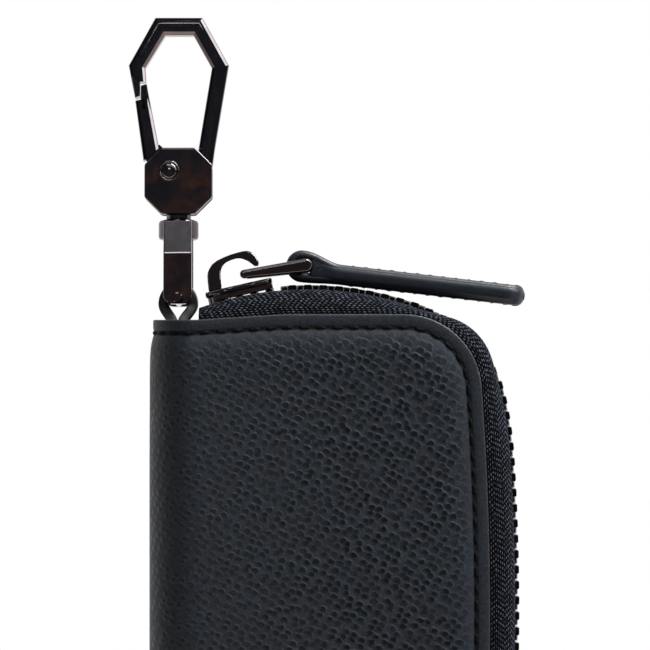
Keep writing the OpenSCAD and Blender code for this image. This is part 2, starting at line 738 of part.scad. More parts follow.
// The eye seen from the side: two legs that lean in and end as plates on the boss
module eye_side() difference() {
    polygon([
        [-eye_out, -eye_bar_r], [eye_out, -eye_bar_r], [eye_out, eye_leg_l],
        [eye_top, boss_top - eye_gap], [-eye_top, boss_top - eye_gap], [-eye_out, eye_leg_l]
    ]);
    polygon([
        [-eye_in, -eye_bar_r - cut], [eye_in, -eye_bar_r - cut], [eye_in, eye_leg_l - eye_gap],
        [post_head_r + eye_gap, boss_base], [-post_head_r - eye_gap, boss_base],
        [-eye_in, eye_leg_l - eye_gap]
    ]);
}

module swivel_eye() color(gunmetal) at_clip() difference() {
    union() {
        intersection() {
            translate([eye_leg_w / 2, 0, 0]) rotate([0, -90, 0]) linear_extrude(eye_leg_w) eye_side();
            slab(2 * eye_out + cut) translate([0, eye_leg_w / 2 - eye_bar_r]) {
                circle(eye_leg_w / 2, $fn = round_fn);
                translate([-eye_leg_w / 2, 0]) square([eye_leg_w, boss_top]);
            }
        }
        cylinder(h = 2 * eye_in + eye_leg_t, r = eye_bar_r, center = true, $fn = round_fn);
        along_y(boss_base) cylinder(h = boss_h, r = boss_r, $fn = round_fn);
    }
    along_y(boss_base - cut) cylinder(h = boss_h + 2 * cut, r = bore_r, $fn = round_fn);
}

body_y = boss_top + post_gap * 2 + neck_h;

module swivel_post() color(gunmetal) at_clip() {
    head_y = boss_base - post_gap - post_head_h;
    along_y(head_y) cylinder(h = post_head_h, r = post_head_r, $fn = round_fn);
    along_y(head_y) cylinder(h = body_y + post_seat - head_y, r = post_r, $fn = round_fn);
    along_y(body_y - neck_h) cylinder(h = neck_h, r = neck_r, $fn = round_fn);
}

// Snap hook: its body, then its frame from the right leg round to the nose
half_body = body_w / 2;
chamfer = body_w / 4;
frame_y = body_y + body_l;
half_frame = frame_w / 2;
top_y = frame_y + frame_l;
rivet_at = [rivet_x, body_y + rivet_y];

// Points of the frame as shares of half its width and of its length above the body
frame_outer_shares = [
    [0.69, -0.25], [1.00, 0.62], [1.00, 0.66], [0.47, 1.00], [-0.47, 1.00], [-1.00, 0.66], [-0.99, 0.62],
    [-0.87, 0.39]
];
nose_shares = [[-0.77, 0.41], [-0.77, 0.50], [-0.65, 0.51]];
frame_inner_shares = [[-0.67, 0.62], [-0.27, 0.87], [0.29, 0.87], [0.67, 0.62], [0.43, 0.00], [0.43, -0.25]];
gate_shares = [
    [-0.87, 0.37], [-0.76, 0.385], [-0.745, 0.48], [-0.62, 0.495], [-0.39, 0.00], [-0.70, -0.10]
];

// Sides of the gate's tongue, then its two points on the round end as shares of its radius
tongue_shares = [[-0.39, 0.02], [-0.69, -0.08]];
tongue_end_shares = [[-0.50, -0.86], [0.60, 0.80]];

function on_frame(shares) = [for (p = shares) [p[0] * half_frame, frame_y + p[1] * frame_l]];

module slab(t) translate([0, 0, -t / 2]) linear_extrude(t) children();

module clip_frame() color(gunmetal) at_clip() difference() {
    union() {
        slab(body_t) polygon([
            [-chamfer, body_y], [chamfer, body_y], [half_body, body_y + chamfer],
            [half_body, frame_y - chamfer], [chamfer, frame_y], [-chamfer, frame_y],
            [-half_body, frame_y - chamfer], [-half_body, body_y + chamfer]
        ]);
        slab(frame_t) polygon(on_frame(concat(frame_outer_shares, nose_shares, frame_inner_shares)));
    }
    translate([-half_body - cut, rivet_at[1] - tongue_r - spring_r, -tongue_t / 2 - tongue_gap])
        cube([half_body + cut + chamfer, body_l, tongue_t + 2 * tongue_gap]);
    translate([rivet_at[0], rivet_at[1], 0]) cylinder(h = body_t + 2 * cut, r = rivet_r, center = true, $fn = round_fn);
    along_y(body_y - cut) cylinder(h = post_seat + cut, r = post_r, $fn = round_fn);
}

module gate() color(gunmetal) at_clip() difference() {
    union() {
        slab(frame_t) difference() {
            polygon(on_frame(gate_shares));
            translate(rivet_at) circle(gate_relief_r, $fn = round_fn);
        }
        slab(tongue_t) {
            translate(rivet_at) circle(tongue_r, $fn = round_fn);
            polygon(concat(on_frame(tongue_shares), [for (p = tongue_end_shares) rivet_at + tongue_r * p]));
        }
    }
    translate([rivet_at[0], rivet_at[1], 0])
        cylinder(h = body_t, r = rivet_r + post_gap, center = true, $fn = round_fn);
}

module gate_rivet() color(gunmetal) at_clip() translate([rivet_at[0], rivet_at[1], 0]) {
    cylinder(h = body_t, r = rivet_r, center = true, $fn = round_fn);
    for (z = [-body_t / 2 - rivet_head_h, body_t / 2]) translate([0, 0, z])
        cylinder(h = rivet_head_h, r = rivet_head_r, $fn = round_fn);
}

module gate_spring() color(steel) at_clip() {
    spring_x = rivet_at[0] + tongue_r + tongue_gap;
    translate([spring_x, rivet_at[1], 0]) rotate([0, 90, 0]) difference() {
        cylinder(h = chamfer - spring_x, r = spring_r, $fn = round_fn);
        translate([0, 0, -cut]) cylinder(h = chamfer - spring_x + 2 * cut, r = spring_r - spring_wire, $fn = round_fn);
    }
}

// Key hooks and the rail that carries them
key_bar_y = half_h - key_bar_inset;
key_bar_z = inner_z + rail_t + barrel_r + layer_gap;
hook_base_z = inner_z + rail_t + hook_lift;
rail_l = hook_pitch * (hook_count - 1) + hook_w + 2 * rail_end;
rail_front_share = 0.7;
barrel_share = 0.8;
neck_share = 0.5;
rail_y = key_bar_y - barrel_r * rail_front_share;
rivet_row_y = key_bar_y + rail_w / 2;

module rail_rivet_holes() for (side = [-1, 1])
    translate([rail_x + side * rail_rivet_pitch / 2, rivet_row_y, board_z - cut])
        cylinder(h = case_t / 2, r = rail_rivet_r, $fn = round_fn);

module hook_rail() color(steel) difference() {
    union() {
        translate([rail_x - rail_l / 2, rail_y, inner_z]) cube([rail_l, rail_w, rail_t]);
        for (x = [rail_x - rail_l / 2, rail_x + rail_l / 2 - ear_t])
            translate([x, rail_y, inner_z]) cube([ear_t, barrel_r * 2, key_bar_z + barrel_r - inner_z]);
    }
    rail_rivet_holes();
    translate([rail_x, key_bar_y, key_bar_z]) rotate([0, 90, 0])
        cylinder(h = rail_l + 2 * cut, r = key_bar_r, center = true, $fn = round_fn);
}

module rail_rivets() color(steel) for (side = [-1, 1])
    translate([rail_x + side * rail_rivet_pitch / 2, rivet_row_y, 0]) {
        translate([0, 0, board_z]) cylinder(h = inner_z + rail_t - board_z, r = rail_rivet_r, $fn = round_fn);
        translate([0, 0, inner_z + rail_t]) cylinder(h = rail_t, r = rail_head_r, $fn = round_fn);
    }

module key_bar() color(steel) translate([rail_x, key_bar_y, key_bar_z]) rotate([0, 90, 0])
    cylinder(h = rail_l + rail_t, r = key_bar_r, center = true, $fn = round_fn);

module key_hook(i) color(steel)
    translate([rail_x + (i - (hook_count + 1) / 2) * hook_pitch, key_bar_y, 0]) {
        in_r = hook_w / 2 - hook_wire;
        neck_w = hook_w * neck_share;
        end_y = -hook_l + hook_w / 2;
        difference() {
            union() {
                translate([0, 0, key_bar_z]) rotate([0, 90, 0])
                    cylinder(h = hook_w * barrel_share, r = barrel_r, center = true, $fn = round_fn);
                translate([0, 0, hook_base_z]) linear_extrude(hook_t) difference() {
                    union() {
                        translate([0, end_y]) circle(hook_w / 2, $fn = round_fn);
                        translate([-hook_w / 2, end_y]) square([hook_w, -end_y - hook_neck + hook_wire]);
                        translate([-neck_w / 2, -hook_neck]) square([neck_w, hook_neck]);
                    }
                    translate([0, end_y]) circle(in_r, $fn = round_fn);
                    translate([-in_r, end_y]) square([2 * in_r, -end_y - hook_neck]);
                    translate([0, -hook_neck - hook_mouth - hook_wire / 2]) square([hook_w, hook_mouth]);
                }
            }
            translate([0, 0, key_bar_z]) rotate([0, 90, 0])
                cylinder(h = hook_w + cut, r = key_bar_r + key_bar_gap, center = true, $fn = round_fn);
        }
    }

back_cover();
back_board();
back_lining();
back_tape();
back_teeth();
back_stop();
hook_rail();
rail_rivets();
key_bar();
spine_cover();
spine_lining();
loop_patch();
front_cover();
front_board();
front_lining();
front_tape();
front_teeth();
front_stop();
card_pocket_low();
card_pocket_high();
slider_body();
slider_crown();
pull_link();
pull_strap();
clip_loop();
swivel_eye();
swivel_post();
clip_frame();
gate();
gate_rivet();
gate_spring();
key_hook(1);  // key_hook_1
key_hook(2);  // key_hook_2
key_hook(3);  // key_hook_3
key_hook(4);  // key_hook_4
key_hook(5);  // key_hook_5
key_hook(6);  // key_hook_6
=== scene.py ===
from math import acos, asin, atan2, cos, hypot, pi, radians, sin, sqrt, tan

import bmesh
import bpy
from mathutils import Matrix, Vector


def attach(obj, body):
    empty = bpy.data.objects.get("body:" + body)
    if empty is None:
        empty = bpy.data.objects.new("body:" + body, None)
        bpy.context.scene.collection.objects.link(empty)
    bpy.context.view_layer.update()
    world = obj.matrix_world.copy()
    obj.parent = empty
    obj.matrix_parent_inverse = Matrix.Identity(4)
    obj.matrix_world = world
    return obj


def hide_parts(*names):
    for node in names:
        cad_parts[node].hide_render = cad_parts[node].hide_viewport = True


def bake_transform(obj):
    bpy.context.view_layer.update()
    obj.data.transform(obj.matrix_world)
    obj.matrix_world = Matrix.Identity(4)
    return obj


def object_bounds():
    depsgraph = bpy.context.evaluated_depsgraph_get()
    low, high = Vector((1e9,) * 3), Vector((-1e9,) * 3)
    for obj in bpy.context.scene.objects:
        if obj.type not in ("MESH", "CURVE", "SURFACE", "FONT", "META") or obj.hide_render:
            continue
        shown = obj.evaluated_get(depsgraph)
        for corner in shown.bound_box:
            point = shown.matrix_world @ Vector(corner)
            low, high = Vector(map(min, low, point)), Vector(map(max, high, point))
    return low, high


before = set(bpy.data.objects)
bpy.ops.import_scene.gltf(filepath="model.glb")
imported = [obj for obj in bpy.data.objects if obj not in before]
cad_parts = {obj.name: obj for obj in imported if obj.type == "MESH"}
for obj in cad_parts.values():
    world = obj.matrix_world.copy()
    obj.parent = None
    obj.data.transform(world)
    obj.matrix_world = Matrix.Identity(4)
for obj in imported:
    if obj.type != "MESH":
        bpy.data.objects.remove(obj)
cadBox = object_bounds()
mm = 0.001
print("frame loaded")

# All sizes below are in millimetres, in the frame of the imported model
case = {"width": 61, "height": 108, "depth": 21, "cornerR": 14, "bowR": 560, "bendR": 8, "drop": 1,
        "dropRun": 24}
zipLine = {"topR": 58.75, "topX": -2.3, "rise": 4.15, "topEnd": 14.7, "cornerR": 11.5, "cornerEnd": 72,
           "sideR": 450, "sideRun": 28, "reach": 4.45, "start": 8.5, "pitch": 2.8, "cornerSink": 1.15}
halfW = case["width"] / 2
halfH = case["height"] / 2
midZ = case["depth"] / 2
foldX = -halfW + case["bendR"]
dropX = -halfW + case["dropRun"]
halfPi = pi / 2


# Small helpers for objects and meshes
def newObject(name, data):
    made = bpy.data.objects.new(name, data)
    bpy.context.scene.collection.objects.link(made)
    return made


def dropObject(piece):
    mesh = piece.data
    bpy.data.objects.remove(piece)
    bpy.data.meshes.remove(mesh)


def makeObject(name, points, faces, materials, faceMaterials=None, smooth=True):
    mesh = bpy.data.meshes.new(name)
    mesh.from_pydata([(x * mm, y * mm, z * mm) for x, y, z in points], [], faces)
    for material in materials:
        mesh.materials.append(material)
    if faceMaterials:
        mesh.polygons.foreach_set("material_index", faceMaterials)
    mesh.polygons.foreach_set("use_smooth", [smooth] * len(mesh.polygons))
    mesh.update()
    return newObject(name, mesh)


def tidyMesh(made, merge=0.0005, fill=False):
    work = bmesh.new()
    work.from_mesh(made.data)
    if merge is not None:
        bmesh.ops.remove_doubles(work, verts=work.verts, dist=merge * mm)
    if fill:
        bmesh.ops.holes_fill(work, edges=[e for e in work.edges if e.is_boundary], sides=0)
    bmesh.ops.recalc_face_normals(work, faces=work.faces)
    work.to_mesh(made.data)
    work.free()
    return made


def applyModifiers(made):
    bpy.context.view_layer.update()
    baked = bpy.data.meshes.new_from_object(made.evaluated_get(bpy.context.evaluated_depsgraph_get()))
    made.modifiers.clear()
    old = made.data
    made.data = baked
    bpy.data.meshes.remove(old)
    return made


def bevelled(made, width, segments):
    step = made.modifiers.new("Rounding", "BEVEL")
    step.width = width * mm
    step.segments = segments
    step.limit_method = "ANGLE"
    step.angle_limit = radians(30)
    step.harden_normals = True
    return applyModifiers(made)


def joined(name, parts):
    work = bmesh.new()
    materials = []
    for part in parts:
        materials += [material for material in part.data.materials if material not in materials]
        numbers = [materials.index(material) for material in part.data.materials]
        first = len(work.faces)
        work.from_mesh(part.data)
        work.faces.ensure_lookup_table()
        for face in work.faces[first:]:
            face.material_index = numbers[face.material_index]
        dropObject(part)
    mesh = bpy.data.meshes.new(name)
    work.to_mesh(mesh)
    work.free()
    for material in materials:
        mesh.materials.append(material)
    return newObject(name, mesh)


def placed(made, matrix):
    made.data.transform(matrix)
    if matrix.determinant() < 0:
        made.data.flip_normals()
    return made


def moved(made, x, y):
    return placed(made, Matrix.Translation((x * mm, y * mm, 0)))


def axesAt(origin, ahead, aside, up):
    return Matrix.Translation(Vector(origin) * mm) @ Matrix((ahead, aside, up)).transposed().to_4x4()


# Turns what lies in x and y so that it lies in y and z, with its height along x
def alongX(made, origin):
    return placed(made, axesAt(origin, (0, 1, 0), (0, 0, 1), (1, 0, 0)))


def arc(x, y, radius, start, end, steps, first=0):
    angles = [start + (end - start) * k / steps for k in range(first, steps + 1)]
    return [(x + radius * cos(a), y + radius * sin(a)) for a in angles]


# Section with four rounded corners: the two radii across are for its plus and its minus side
def roundedBox(halfAcross, halfUp, across, up, angles):
    section = []
    for su, sv, start in ((1, 1, 0), (-1, 1, 90), (-1, -1, 180), (1, -1, 270)):
        r = across[0 if su > 0 else 1]
        for angle in angles:
            a = radians(start + angle)
            section.append((su * (halfAcross - r) + r * cos(a), sv * (halfUp - up) + up * sin(a)))
    return section


# Quads between equal rings of points, then the two ends
def ringFaces(rings, count, flipped=False):
    faces = []
    for k in range((rings - 1) * count):
        after = k + 1 - count * ((k + 1) % count == 0)
        faces.append([k, after, after + count, k + count])
    faces += [list(range(count))[::-1], [(rings - 1) * count + k for k in range(count)]]
    return [face[:1] + face[:0:-1] for face in faces] if flipped else faces


def prism(name, outline, low, high, material, bevel=0, segments=2, axis="z"):
    order = {"x": (2, 0, 1), "y": (0, 2, 1), "z": (0, 1, 2)}[axis]
    points = [[(u, v, level)[i] for i in order] for level in (low, high) for u, v in outline]
    faces = ringFaces(2, len(outline))
    # The two ends come first, since the bevel's normals depend on the order
    made = tidyMesh(makeObject(name, points, faces[-2:] + faces[:-2], [material], smooth=False))
    return bevelled(made, bevel, segments) if bevel else made


def box(x0, y0, x1, y1):
    return [(x0, y0), (x1, y0), (x1, y1), (x0, y1)]


def lathe(name, profile, material, steps=48):
    points = [(*place, height) for radius, height in profile
              for place in arc(0, 0, radius, 0, 2 * pi, steps)[:-1]]
    return tidyMesh(makeObject(name, points, ringFaces(len(profile), steps), [material]))


# What every finished piece says: its body, a material slot name that is not used, and the nodes it stands for
def rides(made, body, slotName, *nodes):
    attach(made, body)
    if nodes:
        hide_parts(*nodes)
    return made


# Nodes
def add(tree, kind, inputs=None, **settings):
    node = tree.nodes.new(kind if "Node" in kind else "ShaderNode" + kind)
    for key, value in settings.items():
        setattr(node, key, value)
    for key, value in (inputs or {}).items():
        if isinstance(value, bpy.types.NodeSocket):
            tree.links.new(value, node.inputs[key])
        else:
            node.inputs[key].default_value = value
    return node


# The tree that the sockets among the values lie in
def treeOf(values):
    return next(value.id_data for value in values if isinstance(value, bpy.types.NodeSocket))


def calc(operation, *values, clamp=False):
    node = add(treeOf(values), "Math", dict(enumerate(values)), operation=operation, use_clamp=clamp)
    return node.outputs[0]


def plus(a, b):
    return calc("ADD", a, b)


def minus(a, b, clamp=False):
    return calc("SUBTRACT", a, b, clamp=clamp)


def times(a, b):
    return calc("MULTIPLY", a, b)


def parts(vector):
    return add(vector.id_data, "SeparateXYZ", {0: vector}).outputs


def ramp(factor, *stops):
    node = add(factor.id_data, "ValToRGB", {"Fac": factor})
    marks = node.color_ramp.elements
    while len(marks) < len(stops):
        marks.new(0.5)
    for mark, (place, value) in zip(marks, stops):
        mark.position = place
        mark.color = (value, value, value, 1) if isinstance(value, (int, float)) else (*value, 1)
    return node.outputs["Color"]


def mixed(factor, a, b, how="MIX"):
    values = {0: factor}
    for index, value in ((6, a), (7, b)):
        values[index] = value if isinstance(value, bpy.types.NodeSocket) else (*value, 1)
    return add(treeOf(values.values()), "Mix", values, data_type="RGBA", blend_type=how).outputs[2]


def tinted(colour, tone):
    return mixed(1.0, colour, tone, "MULTIPLY")


def noise(place, size, detail=3.0, roughness=0.5, output="Fac"):
    inputs = {"Vector": place, "Scale": 1000 / size, "Detail": detail, "Roughness": roughness}
    return add(place.id_data, "TexNoise", inputs).outputs[output]


def feed(shader, name, value):
    value.id_data.links.new(value, shader.inputs[name])


def bump(shader, height, distance):
    node = add(height.id_data, "Bump", {"Height": height, "Distance": distance * mm, "Strength": 1.0})
    feed(shader, "Normal", node.outputs["Normal"])


# A new material, its tree and shader, and the Object coordinates that its patterns read
def startMaterial(name, colour, roughness, **sockets):
    material = bpy.data.materials.new(name)
    material.use_nodes = True
    shader = material.node_tree.nodes["Principled BSDF"]
    sockets.update({"Base_Color": (*colour, 1), "Roughness": roughness})
    for key, value in sockets.items():
        shader.inputs[key.replace("_", " ")].default_value = value
    tree = material.node_tree
    return material, tree, shader, add(tree, "TexCoord").outputs["Object"]


coverGrain = {"colour": (0.0139, 0.0202, 0.0288), "pit": 1.36, "rowTurn": -30, "rowStretch": 1.28,
              "spread": 0.50, "wander": 0.5, "dark": 0.42, "fine": 0.34, "depth": 0.08, "roughness": 0.44,
              "gloss": 0.38, "map": "skin"}
strapGrain = {"colour": (0.0160, 0.0200, 0.0255), "pit": 0.9, "rowTurn": 25, "rowStretch": 1.2,
              "spread": 1.0, "wander": 1.0, "dark": 0.85, "fine": 0.22, "depth": 0.02, "roughness": 0.4,
              "gloss": 0.36, "map": ""}
pocketGrain = {"colour": (0.020, 0.0235, 0.029), "pit": 0.9, "rowTurn": -15, "rowStretch": 1.1,
               "spread": 1.0, "wander": 1.0, "dark": 0.75, "fine": 0.22, "depth": 0.03, "roughness": 0.5,
               "gloss": 0.3, "map": ""}
# Pits shrink towards the spine: by the first share where the panel starts, by none after the run, in metres
bendPits = {"first": 0.14, "run": 0.028, "tone": 0.3, "fade": 4.5}


def leatherMaterial(name, grain):
    material, tree, shader, place = startMaterial(name, grain["colour"], grain["roughness"],
                                                  Specular_IOR_Level=grain["gloss"])
    pitSize = grain["pit"]
    spot, flat = place, "3D"
    if grain["map"]:
        spot, flat = add(tree, "UVMap", uv_map=grain["map"]).outputs[0], "2D"
    # Rows of pits, bent a little by noise
    drift = noise(spot, 2.5 * pitSize, 1.0, output="Color")
    drift = add(tree, "VectorMath", {0: drift, 1: (-0.5, -0.5, -0.5)}, operation="ADD").outputs[0]
    reach = (grain["wander"] * pitSize * mm,) * 3
    bent = add(tree, "VectorMath", {0: drift, 1: reach, 2: spot}, operation="MULTIPLY_ADD").outputs[0]
    turned = add(tree, "Mapping", {"Vector": bent, "Rotation": (0, 0, radians(grain["rowTurn"])),
                                   "Scale": (grain["rowStretch"], 1, 1)}, vector_type="TEXTURE").outputs[0]
    cells = add(tree, "TexVoronoi", {"Vector": turned, "Scale": 1000 / pitSize,
                                     "Randomness": grain["spread"]},
                feature="F1", voronoi_dimensions=flat).outputs["Distance"]
    cells = plus(cells, times(noise(place, pitSize * 0.45), 0.36))
    strong = ramp(noise(place, pitSize * 1.9, 2.0), (0.32, 0.45), (0.58, 1.0))
    # The pits' darker tone is painted shade, laid on as strongly as this mask says
    dark, pitShade = cells, strong
    if grain["map"]:
        alongSkin = parts(spot)[0]
        shrink = minus(bendPits["first"], times(alongSkin, bendPits["first"] / bendPits["run"]), clamp=True)
        dark = plus(cells, times(shrink, bendPits["tone"]))
        cells = plus(cells, shrink)
        fromEdge = parts(add(tree, "UVMap", uv_map="rim").outputs[0])[0]
        strong = times(strong, ramp(fromEdge, (0.28, 0.12), (0.60, 1.0)))
        pitShade = times(strong, minus(1.0, times(shrink, bendPits["fade"])))
        # Painted shade: a dark band along the groove that the seam's stitches lie in
        seam = ramp(fromEdge, (0.185, 1.0), (0.21, 0.35), (0.27, 0.35), (0.30, 1.0))
    pit = times(ramp(cells, (0.30, 0.92), (0.50, 1.0), (0.60, 0.75), (0.74, 0.0)), strong)
    fineCells = add(tree, "TexVoronoi", {"Vector": place, "Scale": 1000 / grain["fine"], "Randomness": 1.0},
                    feature="DISTANCE_TO_EDGE").outputs["Distance"]
    fine = calc("SMOOTH_MIN", times(fineCells, 2.0), 0.6, 0.3)
    swell = noise(place, 5.0, 2.0)
    bump(shader, plus(plus(pit, times(fine, 0.16)), times(swell, 0.5)), grain["depth"])
    # Colour: painted shade in the pits, worn clouds and fine specks, then a dark line of painted shade in the
    # groove under the cover's seam
    tone = mixed(pitShade, (1, 1, 1), ramp(dark, (0.43, grain["dark"]), (0.56, 1.06)))
    colour = tinted(tinted(grain["colour"], tone), ramp(noise(place, 5.0, 5.0), (0.3, 0.8), (0.7, 1.2)))
    colour = tinted(colour, ramp(noise(place, 0.55), (0.3, 0.5), (0.68, 1.5)))
    if grain["map"]:
        # The seam's painted shade darkens the colour, and together with the pits' painted shade it dims the
        # sheen too
        colour = tinted(colour, seam)
        feed(shader, "Specular IOR Level", times(tinted(tone, seam), grain["gloss"]))
    feed(shader, "Base Color", colour)
    feed(shader, "Roughness", ramp(plus(times(pit, 0.5), times(swell, 0.5)), (0.2, grain["roughness"] + 0.15),
                                   (0.8, grain["roughness"] - 0.05)))
    return material


def edgePaintMaterial(name, colour, roughness):
    material, _, shader, place = startMaterial(name, colour, roughness, Specular_IOR_Level=0.4)
    bump(shader, noise(place, 0.9, 4.0), 0.05)
    feed(shader, "Base Color", tinted(colour, ramp(noise(place, 2.5), (0.3, 0.8), (0.7, 1.25))))
    return material


def threadMaterial():
    material, tree, shader, place = startMaterial("Thread", (0.004, 0.004, 0.005), 0.7,
                                                  Specular_IOR_Level=0.08)
    strands = add(tree, "TexWave", {"Vector": place, "Scale": 520.0, "Distortion": 1.5, "Detail": 1.0},
                  wave_type="BANDS", bands_direction="DIAGONAL").outputs["Fac"]
    bump(shader, strands, 0.05)
    feed(shader, "Base Color", mixed(strands, (0.0020, 0.0022, 0.0032), (0.006, 0.0065, 0.009)))
    return material


# Short strokes in rows that step aside and turn back after a few rows
weave = {"colour": (0.0092, 0.0108, 0.0152), "stroke": 0.95, "row": 0.42, "shift": 0.30, "turnAfter": 4.0,
         "depth": 0.2}


def tapeMaterial():
    material, tree, shader, place = startMaterial("Zip tape", weave["colour"], 0.75, Specular_IOR_Level=0.06)
    uv = parts(add(tree, "UVMap", uv_map="weave").outputs[0])
    fuzz = noise(place, 0.5)
    across = plus(calc("DIVIDE", uv[1], weave["row"]), times(fuzz, 0.5))
    row = calc("PINGPONG", calc("FLOOR", across), weave["turnAfter"])
    along = plus(calc("DIVIDE", uv[0], weave["stroke"]), times(row, weave["shift"]))
    along = plus(along, times(fuzz, 0.35))
    swell = [calc("SINE", times(calc("FRACT", way), pi)) for way in (along, across)]
    yarn = calc("POWER", times(*swell), 0.7)
    bump(shader, plus(yarn, times(fuzz, 0.3)), weave["depth"])
    stray = plus(noise(place, 0.8, 2.0), 0.5)
    # Painted shade between the yarns and painted highlights on their crests, following the weave's height
    tone = ramp(times(yarn, stray), (0.35, 0.04), (0.62, 0.4), (0.8, 2.0), (0.97, 9.0))
    feed(shader, "Base Color", tinted(weave["colour"], tone))
    return material


def metalMaterial(name, colour, roughness, relief):
    material, tree, shader, place = startMaterial(name, colour, roughness, Metallic=1.0)
    cloud = noise(place, 4.5, 1.0)
    stretched = add(tree, "Mapping", {"Vector": place, "Rotation": (0.4, 0.3, 0.9), "Scale": (1, 0.06, 1)})
    scratches = noise(stretched.outputs[0], 0.25, 2.0)
    gloss = plus(times(cloud, 0.75), times(scratches, 0.25))
    feed(shader, "Roughness", ramp(gloss, (0.3, roughness * 0.7), (0.7, roughness * 1.4)))
    feed(shader, "Base Color", tinted(colour, ramp(noise(place, 2.5), (0.3, 0.86), (0.7, 1.1))))
    bump(shader, plus(times(scratches, 0.03), cloud), relief)
    return material


def clothMaterial(name, colour, yarn):
    material, _, shader, place = startMaterial(name, colour, 0.8, Sheen_Weight=0.25, Sheen_Roughness=0.45)
    x, y, _ = parts(place)
    warp, weft = (calc("PINGPONG", calc("DIVIDE", way, yarn * mm), 1.0) for way in (x, y))
    twill = calc("PINGPONG", calc("DIVIDE", plus(x, y), 2 * yarn * mm), 1.0)
    height = plus(times(warp, weft), twill)
    bump(shader, height, 0.06)
    feed(shader, "Base Color", tinted(colour, ramp(times(height, 0.5), (0.1, 0.6), (0.9, 1.3))))
    return material


def boardMaterial():
    material, _, shader, place = startMaterial("Stiffener board", (0.27, 0.20, 0.13), 0.85)
    fibre = noise(place, 0.6, 5.0, 0.65)
    feed(shader, "Base Color", ramp(fibre, (0.3, (0.20, 0.145, 0.09)), (0.7, (0.33, 0.25, 0.17))))
    bump(shader, fibre, 0.05)
    return material


coverLeather = leatherMaterial("Cover leather", coverGrain)
strapLeather = leatherMaterial("Strap leather", strapGrain)
pocketLeather = leatherMaterial("Pocket leather", pocketGrain)
coverEdge = edgePaintMaterial("Cover edge paint", (0.018, 0.0165, 0.017), 0.42)
strapEdge = edgePaintMaterial("Strap edge paint", (0.0075, 0.0115, 0.0180), 0.40)
# The strap's edge paint made darker for the loop: painted shade where the loop runs under the snap hook
shadedLoopEdge = edgePaintMaterial("Loop edge paint in painted shade", (0.003, 0.004, 0.006), 0.65)
thread = threadMaterial()
zipTape = tapeMaterial()
gunmetal = metalMaterial("Black nickel", (0.105, 0.094, 0.096), 0.06, 0.048)
toothMetal = metalMaterial("Dark zip metal", (0.017, 0.018, 0.021), 0.3, 0.04)
nickel = metalMaterial("Nickel plate", (0.50, 0.49, 0.47), 0.26, 0.04)
lining = clothMaterial("Lining cloth", (0.0185, 0.0195, 0.023), 0.22)
board = boardMaterial()
print("materials made")


# Geometry Nodes tree that sets one small piece on many places
def repeatTree():
    tree = bpy.data.node_groups.new("Repeat along a line", "GeometryNodeTree")
    for name, kind in (("Places", "Geometry"), ("Piece", "Object"), ("Finish", "Material"), ("Size", "Float"),
                       ("Size spread", "Float"), ("Turn spread", "Float"), ("Seed", "Int")):
        tree.interface.new_socket(name, in_out="INPUT", socket_type="NodeSocket" + kind)
    tree.interface.new_socket("Pieces", in_out="OUTPUT", socket_type="NodeSocketGeometry")
    given = tree.nodes.new("NodeGroupInput").outputs
    piece = add(tree, "GeometryNodeObjectInfo", {"Object": given["Piece"]}).outputs["Geometry"]

    seeds = (given["Seed"], plus(given["Seed"], 1))
    spread, wobble = (add(tree, "FunctionNodeRandomValue", {2: -1.0, 3: 1.0, "Seed": seed},
                          data_type="FLOAT").outputs[1] for seed in seeds)
    size = calc("MULTIPLY_ADD", spread, given["Size spread"], given["Size"])
    turn = add(tree, "GeometryNodeInputNamedAttribute", {"Name": "turn"}, data_type="FLOAT_VECTOR")
    turn = add(tree, "FunctionNodeEulerToRotation", {"Euler": turn.outputs["Attribute"]}).outputs[0]
    lean = times(wobble, given["Turn spread"])
    lean = add(tree, "FunctionNodeAxisAngleToRotation", {"Axis": (0, 0, 1), "Angle": lean}).outputs[0]
    both = add(tree, "FunctionNodeRotateRotation", {0: turn, 1: lean}, rotation_space="LOCAL").outputs[0]

    made = add(tree, "GeometryNodeInstanceOnPoints",
               {"Points": given["Places"], "Instance": piece, "Rotation": both, "Scale": size}).outputs[0]
    made = add(tree, "GeometryNodeRealizeInstances", {0: made}).outputs[0]
    made = add(tree, "GeometryNodeSetMaterial", {"Geometry": made, "Material": given["Finish"]}).outputs[0]
    tree.links.new(made, tree.nodes.new("NodeGroupOutput").inputs[0])
    return tree


repeatNodes = repeatTree()


# Places are pairs of a point and the three axes of the piece that stands there
def repeated(name, places, piece, material, size=1.0, sizeSpread=0.0, turnSpread=0.0, seed=1):
    mesh = bpy.data.meshes.new(name)
    mesh.from_pydata([Vector(place) * mm for place, _ in places], [], [])
    turns = [angle for _, axes in places for angle in Matrix(axes).transposed().to_euler()]
    mesh.attributes.new("turn", "FLOAT_VECTOR", "POINT").data.foreach_set("vector", turns)
    made = newObject(name, mesh)
    step = made.modifiers.new("Repeat", "NODES")
    step.node_group = repeatNodes
    values = {"Piece": piece, "Finish": material, "Size": size, "Size spread": sizeSpread,
              "Turn spread": turnSpread, "Seed": seed}
    for socket in repeatNodes.interface.items_tree:
        if socket.name in values:
            step[socket.identifier] = values[socket.name]
    applyModifiers(made)
    if "turn" in made.data.attributes:
        made.data.attributes.remove(made.data.attributes["turn"])
    made.data.polygons.foreach_set("use_smooth", [True] * len(made.data.polygons))
    return made


# One stitch lies along x, thick in its middle, with its ends sunk into the leather
stitch = {"length": 2.75, "width": 0.78, "height": 0.26, "pitch": 3.0, "inset": 2.4, "sides": 7, "rings": 7,
          "lean": 0.05, "sunk": 0.42, "lift": 0.05, "groove": 0.17}


